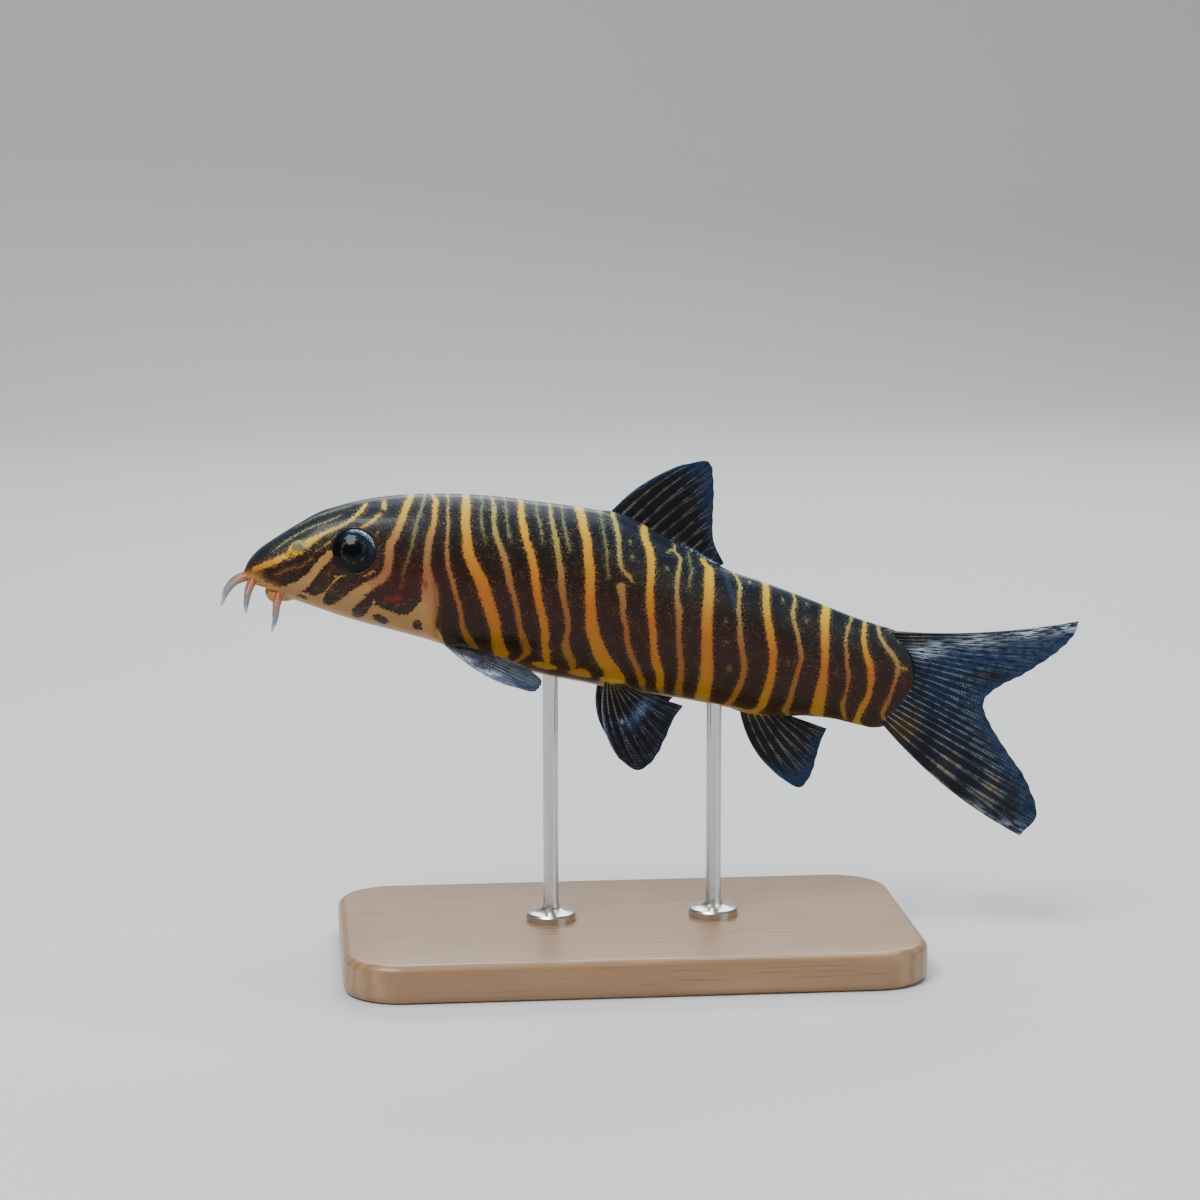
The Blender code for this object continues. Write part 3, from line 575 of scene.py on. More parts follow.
# Bars that start above one share of the half turn go on to the back, and those that end below another go on
# under the belly
TOP_UNTIL = 0.27
LEAN_LIMIT = 1.5
FOOT_FROM = 0.60
FOOT_REACH = 0.30
FOOT_LIMIT = 0.95
FOOT_SHIFT = 0.8
FOOT_TAPER = 0.45
JOIN_STEPS = 24

# How the right side's marks sway and swell away from the left side's
SIDE_SWAY = 0.55
SIDE_SWELL = 0.12
SIDE_WAVES = (1.5, 2.6)


def band(points):
    """A mark's middle line as stations, angles and half widths, resampled finely."""
    knots = np.array([(*on_body(px, py), width * PX / 2) for px, py, width in points])
    run = np.concatenate([[0], np.cumsum(np.hypot(*np.diff(np.array(points)[:, :2], axis=0).T))])
    return smooth(run, knots, np.linspace(0, run[-1], max(3, int(run[-1] * PX / SPACING))))


def over_the_back(line):
    """A bar carried on from its top to the ridge of the back."""
    x, t, half = line[0]
    if t > TOP_UNTIL * math.pi:
        return line
    lean = np.clip((line[4, 0] - x) / max(line[4, 1] - t, 1e-3), -LEAN_LIMIT, LEAN_LIMIT)
    up = np.linspace(0, 1, JOIN_STEPS)[:-1, None]
    start = np.array((x - lean * t * 0.5, 0.0, half))
    return np.concatenate([start + (line[0] - start) * up, line])


def under_the_belly(line):
    """A bar that reaches the lower flank, carried on round the belly and tapered."""
    x, t, half = line[-1]
    if t < FOOT_FROM * math.pi:
        return line
    end = np.array((x + FOOT_SHIFT, min(t + FOOT_REACH, FOOT_LIMIT * math.pi), half * FOOT_TAPER))
    return np.concatenate([line, line[-1] + (end - line[-1]) * np.linspace(0, 1, JOIN_STEPS)[1:, None]])


def both_sides(line, draw):
    """The mark on the left side and its twin on the right, which sways a little away from the ridge."""
    x, t, half = line.T
    phase, wave = draw.uniform(0, 2 * math.pi), draw.uniform(*SIDE_WAVES)
    sway = SIDE_SWAY * ease(0.1, 0.9, t) * np.sin(phase + wave * t)
    swell = 1 + SIDE_SWELL * ease(0.1, 0.9, t) * np.sin(phase * 2 + 2.2 * wave * t)
    return [(surface(x, -t), half), (surface(x + sway, t), half * swell)]


def throat_distance(x, t):
    """How far points lie above the limit of the pale throat and belly, in percent of the fish's length."""
    knots = sorted(on_body(px, py) for px, py in THROAT)
    limit = BELLY_LIMIT * math.pi
    knots = [(-1.0, knots[0][1]), *knots, (knots[-1][0] + 3, limit), (PALE_BELLY_END, limit)]
    knots += [(PALE_BELLY_END + PALE_BELLY_FADE, math.pi), (BODY_END, math.pi)]
    stations, angles = np.array(knots).T
    radius = section(x)[..., 3] - section(x)[..., 1]
    return (np.interp(x, stations, angles) - np.abs(t)) * radius


def signed_distance(points, line):
    """How far points lie outside a mark, in percent of the fish's length and negative inside."""
    centres, half = line
    low, high = centres.min(0) - REACH, centres.max(0) + REACH
    near = np.nonzero(((points > low) & (points < high)).all(1))[0]
    found = np.full(len(points), REACH)
    for part in np.array_split(near, max(1, len(near) // 4000)):
        away = np.linalg.norm(points[part, None] - centres[None], axis=2) - half[None]
        found[part] = np.minimum(REACH, away.min(1))
    return found


def markings(points):
    """The distance of each point of the skin to each kind of mark, in millimetres, and the bars' strength."""
    draw = random.Random(SEED)
    bars, strength = np.full(len(points), FAR), np.zeros(len(points))
    marks = [(s, under_the_belly(over_the_back(band(p)))) for s, *p in BARS]
    marks += [(s, band(p)) for s, *p in LINES]
    marks += [(FAINT, band([(px, py, w), (px + 0.5, py + 1.5, w)])) for px, py, w in SPECKS]
    for level, line in marks:
        for twin in both_sides(line, draw):
            found = signed_distance(points, twin)
            closer = found < bars
            bars[closer], strength[closer] = found[closer], level
    mm = PERCENT * 1000
    fields = {"bar": bars * mm, "strength": strength}
    for name, table in (("pale", PALE), ("dark", DARK), ("red", RED), ("blue", BLUE)):
        lines = [twin for p in table for twin in both_sides(band(p), draw)]
        fields[name] = np.minimum.reduce([signed_distance(points, line) for line in lines]) * mm
    throat = np.clip(throat_distance(*unroll(points)) * mm, -FAR, FAR)
    fields["pale"] = np.minimum(fields["pale"], throat)
    return fields


# The skin

VOXEL = 0.17
SMOOTH_ROUNDS = 14
LAST_ROUNDS = 2
SMOOTH_SHARE = 0.5
PIPE_SIDES = 20

# Folds: how deep each is and its half width, in percent of the fish's length. The gill cover's swell is
# raised, and the lateral line's half width is in radians.
MOUTH_SLIT = (0.5, 0.22)
MOUTH_HALF = 3.4
GILL_SLIT = (0.42, 0.34)
GILL_SWELL = (0.22, 1.1)
NOSTRIL_PIT = (0.5, 0.5)
PIT_OFFSET = (1.1, 0, 0.75)
EYE_GROOVE = (0.07, 0.3)
EYE_GROOVE_RADIUS = 4.3
LATERAL_LINE = (0.05, 0.03)
LATERAL_ANGLE = 1.35

# The nostril's flap: how far it stands up, leans back and spreads
FLAP_HEIGHT = 1.9
FLAP_CURL = 0.45
FLAP_WIDTH = 1.05
NOSTRIL_LEAN = (-0.1, 0, 1.0)


def eye_place(side):
    t = angle_at(EYE_STATION, EYE_HEIGHT, side)
    return Vector(surface(EYE_STATION, t)), outward(EYE_STATION, t)


def nostril_place(side):
    t = angle_at(NOSTRIL_STATION, NOSTRIL_HEIGHT, side)
    lean = outward(NOSTRIL_STATION, t) + Vector(NOSTRIL_LEAN)
    return Vector(surface(NOSTRIL_STATION, t)), lean.normalized()


def flap(side):
    """The nostril's flap, a small leaf that stands on the snout and leans back."""
    foot, lean = nostril_place(side)
    aft = (Vector((1, 0, -0.25)) - lean * lean.x).normalized()
    thick = aft.cross(lean)
    turn = circle(24)
    rows = []
    for share in np.linspace(-0.5, 1, 24):
        middle = foot + lean * FLAP_HEIGHT * share + aft * FLAP_CURL * share * share
        width = FLAP_WIDTH * math.sqrt(max(1 - max(share, 0) ** 2.6, 0.002))
        depth = 0.12 + 0.2 * width
        rows.append([middle + aft * width * math.cos(a) + thick * depth * math.sin(a) for a in turn])
    return lattice(np.array(rows))


def add_shape(bm, shape):
    points, faces = shape
    corners = [bm.verts.new(p) for p in points]
    for face in faces:
        bm.faces.new([corners[i] for i in face])


def add_ball(bm, centre, radii, direction=(0, 0, 1)):
    matrix = facing(centre, direction, radii)
    bmesh.ops.create_uvsphere(bm, u_segments=48, v_segments=32, radius=1, matrix=matrix)


def add_pipe(bm, points, radii, rows):
    add_shape(bm, lattice(pipe(points, radii, rows, PIPE_SIDES)))


def add_root(bm, stations, angle, sink, radii, rows):
    """The flesh at a fin's root, along the body at one angle and sunk a little below the skin."""
    line = [tuple(surface(x, angle) - np.array(outward(x, angle)) * sink) for x in stations]
    add_pipe(bm, line, radii, rows)


def ring_of(centre, direction, radius, thickness):
    """A torus about a direction."""
    turn, tube = circle(96), circle(16)
    out = (radius + thickness * np.cos(tube))[None, :]
    rise = thickness * np.sin(tube)[None, :] + 0 * turn[:, None]
    matrix = np.array(facing(centre, direction))
    flat = np.stack([out * np.cos(turn)[:, None], out * np.sin(turn)[:, None], rise], -1)
    points = flat @ matrix[:3, :3].T + matrix[:3, 3]
    return lattice(np.concatenate([points, points[:1]]), capped=False)


def skin_shapes():
    """The closed shapes that the skin is wrapped round."""
    bm = bmesh.new()
    front = BODY_END * 0.5 * (1 - np.cos(np.linspace(0, math.pi, 420)))
    add_shape(bm, lattice(body_rings(front, 180)))
    x, y, z = MOUTH_CORNER
    upper = [(x, -y, z + 0.3), (3.5, -2.2, -1.1), (1.7, 0, -0.8), (3.5, 2.2, -1.1), (x, y, z + 0.3)]
    low = z - 0.4
    lower = [(x, 0.3 - y, low), (4.8, -1.8, -2.2), (4.1, 0, -1.9), (4.8, 1.8, -2.2), (x, y - 0.3, low)]
    add_pipe(bm, upper, (0.5, 0.55, 0.55, 0.55, 0.5), 60)
    add_pipe(bm, lower, (0.55, 0.95, 0.8, 0.95, 0.55), 60)
    add_ball(bm, (0.8, 0, 0.0), (1.2, 1.9, 1.0))
    add_ball(bm, (x + 0.2, 0, -2.0), (2.3, 2.3, 1.0))
    for side in SIDE_NAMES.values():
        add_ball(bm, (x, side * (y + 0.1), z), (0.8, 0.7, 0.8))
        centre, out = eye_place(side)
        add_shape(bm, ring_of(centre + out * RIM_LIFT, out, RIM_RADIUS, RIM_THICKNESS))
        add_shape(bm, flap(side))
        add_root(bm, (27.5, 30, 32, 34.5), angle_at(31.5, -4.2, side), 0.45, (0.4, 1.0, 1.05, 0.4), 40)
        add_root(bm, (52.5, 55, 57, 60), angle_at(56.3, -6.3, side), 0.35, (0.3, 0.9, 0.9, 0.3), 40)
    add_root(bm, (48.5, 53, 61, 71.5), 0, 0.35, (0.3, 0.95, 0.85, 0.3), 90)
    add_root(bm, (73.5, 77, 82, 86.5), math.pi, 0.35, (0.3, 0.85, 0.8, 0.3), 60)
    bmesh.ops.recalc_face_normals(bm, faces=bm.faces[:])
    return bm


def relax(points, mesh, rounds):
    """Moves each point towards the middle of its neighbours."""
    a, b = read(mesh.edges, "vertices", 2, int).T
    size = len(points)
    count = np.bincount(np.concatenate([a, b]), minlength=size)
    for _ in range(rounds):
        sums = [np.bincount(a, axis[b], size) + np.bincount(b, axis[a], size) for axis in points.T]
        points = points + (np.stack(sums, 1) / count[:, None] - points) * SMOOTH_SHARE
    return points


def fold(off, depth, width):
    """How deep a fold is at a distance from its middle line."""
    return depth * np.exp(-(off / width) ** 2)


def carve_skin(points, normals):
    """Presses the mouth, nostrils, gill opening and the finer folds of the head into the skin, and gives how
    deep each point is pressed, which the skin's material uses to paint shade in the folds.
    """
    x, t = unroll(points)
    down, height = np.abs(t), points[:, 2]
    front = 1 - ease(MOUTH_CORNER[0] - 0.6, MOUTH_CORNER[0] + 0.5, x)
    fold_depth_and_shade = fold(height - MOUTH_LEVEL, *MOUTH_SLIT) * front * (np.abs(points[:, 1]) < MOUTH_HALF)
    edge = x - GILL_TOP - GILL_BULGE * np.sin(0.6 * down) ** 1.4
    opening = ease(0.85, 1.3, down) * (1 - ease(2.35, 2.7, down))
    fold_depth_and_shade += fold(edge, *GILL_SLIT) * opening
    fold_depth_and_shade -= fold(edge + GILL_SWELL[1], *GILL_SWELL) * opening
    leaf = np.zeros(len(points))
    for side in SIDE_NAMES.values():
        foot, lean = map(np.array, nostril_place(side))
        away = points - foot
        up = away @ lean
        off = np.linalg.norm(away - up[:, None] * lean, axis=1)
        leaf += np.exp(-(off / 1.5) ** 6) * ease(0.15, 0.5, up)
        fold_depth_and_shade += fold(np.linalg.norm(away + PIT_OFFSET, axis=1), *NOSTRIL_PIT)
        centre, out = map(np.array, eye_place(side))
        away = points - centre
        flat = np.linalg.norm(away - (away @ out)[:, None] * out, axis=1)
        near = np.linalg.norm(away, axis=1) < 5.5
        fold_depth_and_shade += fold(flat - EYE_GROOVE_RADIUS, *EYE_GROOVE) * near
    lateral = fold(down - LATERAL_ANGLE, *LATERAL_LINE) * ease(26, 32, x) * (1 - ease(94, 98, x))
    fold_depth_and_shade += lateral * (0.6 + 0.4 * np.sin(x * 4.5))
    low = ease(0.35, 0.6, down / math.pi)
    lips = (1 - ease(0.8, 3.2, x)) * low + fold(height + 1.7, 1, 1.1) * (1 - ease(4.0, 6.6, x))
    forms = {"fold_depth_and_shade": fold_depth_and_shade, "lips": lips, "flap": leaf}
    return points - normals * fold_depth_and_shade[:, None], {name: np.clip(form, 0, 1) for name, form in forms.items()}


def skin():
    """The closed skin of head, trunk and tail, with the numbers that its material reads."""
    bm = skin_shapes()
    mesh = bpy.data.meshes.new("skin")
    bm.to_mesh(mesh)
    bm.free()
    made = new_object("skin", mesh)
    wrap = made.modifiers.new("wrap", "REMESH")
    wrap.mode = "VOXEL"
    wrap.voxel_size = VOXEL
    bpy.context.view_layer.update()
    mesh = bpy.data.meshes.new_from_object(made.evaluated_get(bpy.context.evaluated_depsgraph_get()))
    made.modifiers.clear()
    made.data = mesh
    points = relax(read(mesh.vertices, "co", 3), mesh, SMOOTH_ROUNDS)
    mesh.vertices.foreach_set("co", points.ravel())
    mesh.update()
    points, forms = carve_skin(points, read(mesh.vertices, "normal", 3))
    points = relax(points, mesh, LAST_ROUNDS)
    mesh.vertices.foreach_set("co", points.ravel())
    x, t = unroll(points)
    fields = {**markings(points), "station": x / 100, "down": np.abs(t) / math.pi, **forms}
    for name, values in fields.items():
        store(mesh, name, values)
    mesh.transform(FISH)
    mesh.shade_smooth()
    mesh.update()
    return made


# How far a mark's edge softens, in millimetres
MARK_EDGE = 0.06


def skin_look():
    """Dark skin with gold bars, a pale throat, and patches, lips and nostril flaps of their own colours. The
    colours carry painted shade, darker down the flank and in the folds, and a painted blue-grey sheen along
    the back.
    """
    look = Look("loach_skin", Roughness=0.40, Specular_IOR_Level=0.13, Coat_Weight=0.12, Coat_Roughness=0.14)
    down, station, strength = map(look.value, ("down", "station", "strength"))
    grain, fine, cloud = look.noise(4600, 2.0), look.noise(7200, 1.0), look.noise(700, 3.0)
    rough = (grain - 0.5) * 0.60 + (fine - 0.5) * 0.50

    # Painted sheen and shade: the dark ground and its lighter specks are blue-grey on the back, as a painted
    # sheen of light from above. They darken down the flank, partly in the skin's own colour and partly as
    # painted shade.
    dark = look.ramp(
        down, (0.0, (0.014, 0.020, 0.036)), (0.20, (0.010, 0.013, 0.021)), (0.34, (0.012, 0.008, 0.006)),
        (0.50, (0.020, 0.005, 0.003)), (0.80, (0.014, 0.006, 0.002)), (1.0, (0.045, 0.030, 0.014)))
    specks_and_sheen = look.ramp(
        down, (0.0, (0.050, 0.068, 0.095)), (0.34, (0.105, 0.075, 0.045)), (0.60, (0.095, 0.030, 0.012)))
    gill = station.step(0.165, 0.20) * station.step(0.32, 0.25)
    gill = gill * (down.step(0.38, 0.50) * down.step(0.88, 0.72))
    dark = look.mix(gill * 0.7, dark, (0.034, 0.006, 0.004))
    dots = fine.step(0.56, 0.66) * cloud.step(0.38, 0.62)
    dark = look.mix(dots * 0.65, dark, specks_and_sheen)

    snout = station.step(0.02, 0.06) * station.step(0.22, 0.13)
    # Painted shade: the bars' gold is brightest on the back and darker down the flank, partly in the bars'
    # own colour and partly as painted shade of light from above. The same holds for pale_gold and cheek_gold
    # below.
    gold = look.ramp(
        down - snout * 0.13, (0.0, (0.70, 0.50, 0.07)), (0.20, (0.66, 0.40, 0.035)),
        (0.36, (0.50, 0.21, 0.018)), (0.50, (0.36, 0.105, 0.012)), (0.66, (0.31, 0.120, 0.007)),
        (0.80, (0.30, 0.15, 0.006)), (1.0, (0.32, 0.21, 0.06)))
    pale_gold = look.ramp(
        down, (0.0, (0.40, 0.44, 0.19)), (0.26, (0.27, 0.26, 0.11)), (0.42, (0.18, 0.11, 0.045)),
        (0.55, (0.17, 0.055, 0.018)), (0.76, (0.16, 0.070, 0.008)), (1.0, (0.24, 0.15, 0.06)))
    cheek_gold = look.ramp(
        down, (0.16, (0.50, 0.34, 0.06)), (0.34, (0.33, 0.17, 0.055)), (0.48, (0.25, 0.095, 0.035)),
        (0.62, (0.29, 0.145, 0.055)))
    bar_colour = look.mix(strength.step(0.68, 1.0), pale_gold, gold)
    cheek = station.step(0.31, 0.26) * strength.step(0.6, 0.8)
    cheek = cheek * (down.step(0.14, 0.34) * station.step(0.09, 0.13))
    bar_colour = look.mix(cheek, bar_colour, cheek_gold)
    bar = look.value("bar")
    pits = fine.step(0.46, 0.38) * bar.step(-0.6, 0.1)
    bar_colour = look.mix(pits * 0.55, bar_colour, dark)
    inside = (bar + rough).step(MARK_EDGE, -MARK_EDGE) * (strength.step(0.35, 0.75) * 0.45 + 0.55)
    halo = bar.step(0.6, 0.0) * fine.step(0.55, 0.63)
    colour = look.mix(inside.at_least(halo * 0.36), dark, bar_colour)

    beige = look.mix(cloud.step(0.35, 0.65), (0.30, 0.165, 0.060), (0.34, 0.17, 0.045))
    colour = look.mix((look.value("pale") + rough).step(MARK_EDGE, -MARK_EDGE), colour, beige)
    patch = look.mix(dots, (0.022, 0.010, 0.004), (0.15, 0.085, 0.035))
    colour = look.mix((look.value("dark") + rough * 1.3).step(MARK_EDGE, -MARK_EDGE), colour, patch)
    colour = look.mix((look.value("red") + rough).step(0.15, -0.15) * 0.85, colour, (0.13, 0.010, 0.007))
    colour = look.mix((look.value("blue") + rough).step(0.30, -0.20) * 0.45, colour, (0.035, 0.060, 0.110))
    lip = look.mix(grain.step(0.4, 0.6), (0.36, 0.11, 0.02), (0.46, 0.24, 0.06))
    colour = look.mix(look.value("lips") * 0.85, colour, lip)
    # Painted shade: the mouth slit, gill opening, nostril pits, eye groove and lateral line are darkened by
    # how deep they are pressed.
    colour = look.mix(look.value("fold_depth_and_shade") * 0.6, colour, (0.03, 0.012, 0.006))
    leaf = look.mix(cloud, (0.30, 0.25, 0.08), (0.20, 0.19, 0.11))
    colour = look.mix(look.value("flap").step(0.25, 0.65), colour, leaf)

    pebbles = look.node("TexVoronoi", {"Vector": look.place((0.8, 1, 1)), "Scale": 3600}, "Distance")
    relief = look.bump(grain, 0.00005, 0.35, look.bump(pebbles, 0.00005, 0.30))
    look.set(Base_Color=colour, Normal=relief)
    return look.material


# The eyes

PUPIL = 1.50
GOLD_RING = 1.85
GOLD_HALF = 0.15
LENS_RISE = 0.10
RING_DIP = 0.03
SHEEN_SIDE = (0.35, 0, 0.94)


def eye(side_name):
    """An eyeball with a raised lens, whose material draws the pupil, the gold ring and the iris."""
    surface_point, out = eye_place(SIDE_NAMES[side_name])
    world = np.array(facing(surface_point + out * (EYE_BULGE - EYE_DEPTH), out))
    polar = np.linspace(0.01, math.pi - 0.01, 90)[:, None]
    turn = circle(128)[None, :]
    flat = EYE_RADIUS * np.sin(polar) + 0 * turn
    rise = EYE_DEPTH * np.cos(polar) + 0 * turn
    front = np.cos(polar) > 0
    rise = rise + np.where(front, LENS_RISE * (1 - ease(PUPIL * 0.6, PUPIL * 1.1, flat)), 0)
    rise = rise - np.where(front, fold(flat - GOLD_RING, RING_DIP, 0.25), 0)
    local = np.stack([flat * np.cos(turn), flat * np.sin(turn), rise], -1)
    points = local @ world[:3, :3].T + world[:3, 3]
    node = "eye_" + side_name
    made = as_object("loach_" + node, *lattice(points))
    store(made.data, "off", flat.ravel() / EYE_RADIUS)
    up = (points - np.array(surface_point)) @ SHEEN_SIDE / EYE_RADIUS
    store(made.data, "up", up.ravel())
    dress(made, "eyes", EYE_LOOK, node)


def eye_look():
    """A black pupil in a broken gold ring, and a dark iris with painted light: a sheen on its upper part, a
    silver highlight along its upper rim and a blue reflection at its lower rim.
    """
    look = Look("loach_eye", Roughness=0.35, Specular_IOR_Level=0.04)
    look.set(Coat_Weight=0.3, Coat_Roughness=0.03, Coat_IOR=1.4)
    off, up = look.value("off"), look.value("up")
    speckle, wide = look.noise(9000, 2.0), look.noise(1900, 2.0)
    wobble = off + (wide - 0.5) * 0.10
    # Painted sheen: the iris is bluer towards its top, where light falls, and speckled there.
    iris = look.mix(up.step(-0.2, 0.7), (0.0015, 0.002, 0.003), (0.003, 0.010, 0.022))
    iris = look.mix(speckle.step(0.54, 0.64) * up.step(0.30, 0.75) * 0.35, iris, (0.06, 0.15, 0.22))
    # Painted highlight: a speckled silver crescent along the upper rim.
    painted_highlight = look.mix(speckle.step(0.45, 0.56), (0.01, 0.045, 0.09), (0.60, 0.74, 0.80))
    colour = look.mix(wobble.step(0.68, 0.84) * up.step(0.45, 0.78), iris, painted_highlight)
    # Painted reflection: a faint blue streak along the lower rim.
    painted_low_reflection = wobble.step(0.78, 0.86) * up.step(-0.60, -0.80)
    colour = look.mix(painted_low_reflection * 0.35, colour, (0.07, 0.13, 0.20))
    first, last = PUPIL / EYE_RADIUS, (GOLD_RING + GOLD_HALF) / EYE_RADIUS
    ring = wobble.step(first, first + 0.03) * wobble.step(last, last - 0.04) * wide.step(0.44, 0.58)
    gold = look.mix(up.step(-0.2, 0.3), (0.055, 0.045, 0.015), (0.13, 0.060, 0.015))
    colour = look.mix(ring * 0.7, colour, gold)
    colour = look.mix(off.step(first, first - 0.02), colour, (0.001, 0.002, 0.004))
    look.set(Base_Color=colour)
    return look.material


# The fins

# Thicknesses in percent of the fish's length, and widths of rays in shares of their spacing
MEMBRANE_HALF = 0.09
RAY_RISE = 0.17
RAY_WIDTH = 0.13
RAY_TAPER = 0.07
RAY_COLUMNS = 14
JOINT_MM = 0.34
RIPPLE = 0.12
ROOT_LIFT = 0.4
PELVIC_LEVEL = -6.3
PELVIC_SPREAD = math.tan(math.radians(14))
SCALLOP = 0.010
LOWER_TIP_ROUNDING = 0.035


def ray_pattern(s, v, first_split, second_split):
    """Distance to the nearest ray, in ray spacings, with each ray forking twice towards the margin."""
    off = np.abs(s - np.round(s))
    fork = 0.25 * ease(first_split, 1.05, v) ** 0.8
    twig = 0.125 * ease(second_split, 1.1, v) ** 0.8
    return np.abs(np.abs(off - fork) - twig)


def tints(table, u, v):
    """How strong a tint is at each place of a fin, from soft spots: u, v, their reaches and a strength."""
    found = np.zeros_like(u)
    for at_u, at_v, reach_u, reach_v, strength in table:
        found += strength * np.exp(-np.square((u - at_u) / reach_u) - np.square((v - at_v) / reach_v))
    return np.clip(found, 0, 1)


def fin(name, nodes, rays, rows, place, look, spots, splits=(0.3, 0.62), stiff=1, root=(0.05, 0.1, 0.3)):
    """A thin fin whose rays are ridges on both faces. place(u, v) gives its middle sheet.

    root says how far the fin reaches into the body, how far its fleshy base reaches out, and how thick that
    base is.
    """
    sink, fleshy, thick = root
    columns = (rays - 1) * RAY_COLUMNS
    u = np.linspace(0, 1, columns + 1)[:, None] + np.zeros(rows + 1)[None, :]
    v = np.linspace(-sink, 1, rows + 1)[None, :] + 0 * u
    s = u * (rays - 1)
    off = ray_pattern(s, np.where(s < stiff - 0.5, 0, v), *splits)
    edge = np.minimum(u, 1 - u) * (rays - 1)
    notch = SCALLOP * ease(0.5, 4.0, edge) * ease(0.5, 1, v)
    reach = v * (1 - notch * ease(0.0, 0.5, np.abs(s - np.round(s))))
    middle = place(u, reach)
    across = np.gradient(middle, axis=0)
    out = np.gradient(middle, axis=1)
    normal = np.cross(across, out)
    normal /= np.linalg.norm(normal, axis=2)[..., None]
    width = RAY_WIDTH - RAY_TAPER * ease(0, 1, v)
    ridge = np.exp(-np.square(off / width))
    half = MEMBRANE_HALF + RAY_RISE * ridge * (1 - 0.72 * np.clip(v, 0, 1))
    half = half * (0.35 + 0.65 * ease(0, 0.12, edge))
    half = half * (1 - 0.6 * ease(0.96, 1.0, v)) + thick * ease(fleshy, -0.04, v)
    faces_out = np.stack([middle + normal * half[..., None], middle - normal * half[..., None]])
    count = (columns + 1) * (rows + 1)
    index = np.arange(count).reshape(columns + 1, rows + 1)
    quads = np.stack([index[:-1, :-1], index[1:, :-1], index[1:, 1:], index[:-1, 1:]], -1).reshape(-1, 4)
    rim = np.concatenate([index[0, :-1], index[:-1, -1], index[-1, :0:-1], index[:0:-1, 0]])
    turned = np.roll(rim, -1)
    wall = np.stack([rim, turned, turned + count, rim + count], -1)
    faces = quads.tolist() + (quads[:, ::-1] + count).tolist() + wall.tolist()
    made = as_object(name, faces_out.reshape(-1, 3), faces)
    length = np.cumsum(np.linalg.norm(np.diff(middle, axis=1, prepend=middle[:, :1]), axis=2), axis=1)
    corner = ease(0.7, 0.2, edge) * ease(0.14, 0.02, v)
    fields = {"ray": off / width + 2 * corner, "u": u, "v": np.clip(v, 0, 1), "run": length * PERCENT * 1000}
    # light holds painted highlights and blue a painted sheen; warm and shade are the fins' own marks.
    for tint in ("light", "blue", "warm", "shade"):
        fields[tint] = tints(spots.get(tint, ()), u, v)
    for field, values in fields.items():
        store(made.data, field, np.tile(values.ravel(), 2))
    dress(made, "fins", look, *nodes)


def sheet(root, margin, bow, side_lift):
    """A place function for an upright fin from its root line to its margin, as in the solids."""

    def place(u, v):
        low, high = along(root, u), along(margin, u)
        run = high - low
        length = np.linalg.norm(run, axis=-1)
        swell = 4 * v * (1 - v) * along([(b,) for b in bow], u)[..., 0]
        x = low[..., 0] + run[..., 0] * v - run[..., 1] / length * swell
        z = low[..., 1] + run[..., 1] * v + run[..., 0] / length * swell
        return np.stack([x, side_lift(x, z, v), z], -1)

    return place


def ripple(run, waves, v):
    """A slight wave across a fin, which grows towards its margin."""
    return RIPPLE * np.sin(run * waves) * v


def roots_on(places, side):
    """Points just off the skin, at stations and heights."""
    found = []
    for x, height in places:
        t = angle_at(x, height, side)
        found.append(surface(x, t) + np.array(outward(x, t)) * ROOT_LIFT)
    return found


def dorsal_place():
    root = [(x, surface(x, 0)[2] + 0.25) for x in (51.3, 57.1, 63.0, 68.8)]
    margin = [(60.6, 27.0), (64.3, 28.0), (65.7, 24.6), (66.4, 20.2), (67.2, 16.6), (69.4, 13.4)]
    bow = (0.9, 0.6, 0.3, 0.2, 0.1, 0.0)
    return sheet(root, margin, bow, lambda x, z, v: bend(x) + 0.5 * v * v + ripple(x, 1.3, v))


def anal_place():
    root = [(x, surface(x, math.pi)[2] - 0.25) for x in (76.0, 78.7, 81.4, 84.1)]
    margin = [(83.8, -16.8), (87.1, -18.0), (88.5, -15.8), (88.8, -12.9), (89.0, -10.4), (89.5, -8.4)]
    bow = (-1.1, -0.7, -0.4, -0.2, 0.0, 0.0)
    return sheet(root, margin, bow, lambda x, z, v: bend(x) - 0.4 * v * v + ripple(x, 1.4, v))


def caudal_place():
    root = [(98.9, 7.9), (100.3, 6.2), (101.5, 4.4), (102.0, 1.6), (101.9, -1.6), (100.9, -4.7), (98.9, -7.3)]
    upper = [(126.0, 13.3), (125.2, 10.8), (122.3, 7.7), (118.5, 4.5), (115.2, 2.2)]
    fork = [(112.9, -0.8)]
    lower = [(114.8, -4.2), (118.5, -8.1), (122.0, -11.6), (124.8, -16.4), (123.9, -20.7)]
    bow = (-0.6, -0.3, 0.0, 0.0, 0.0, 0.0, 0.0, 0.0, 0.0, -0.3, -1.3)

    def swing(x, z, v):
        return bend(x) + 0.5 * v + 0.028 * np.clip(z - 2, 0, None) ** 2 * v + ripple(z, 1.3, v)

    flat = sheet(root, upper + fork + lower, bow, swing)
    return lambda u, v: flat(u, v * (1 - LOWER_TIP_ROUNDING * ease(0.92, 1.0, u)))


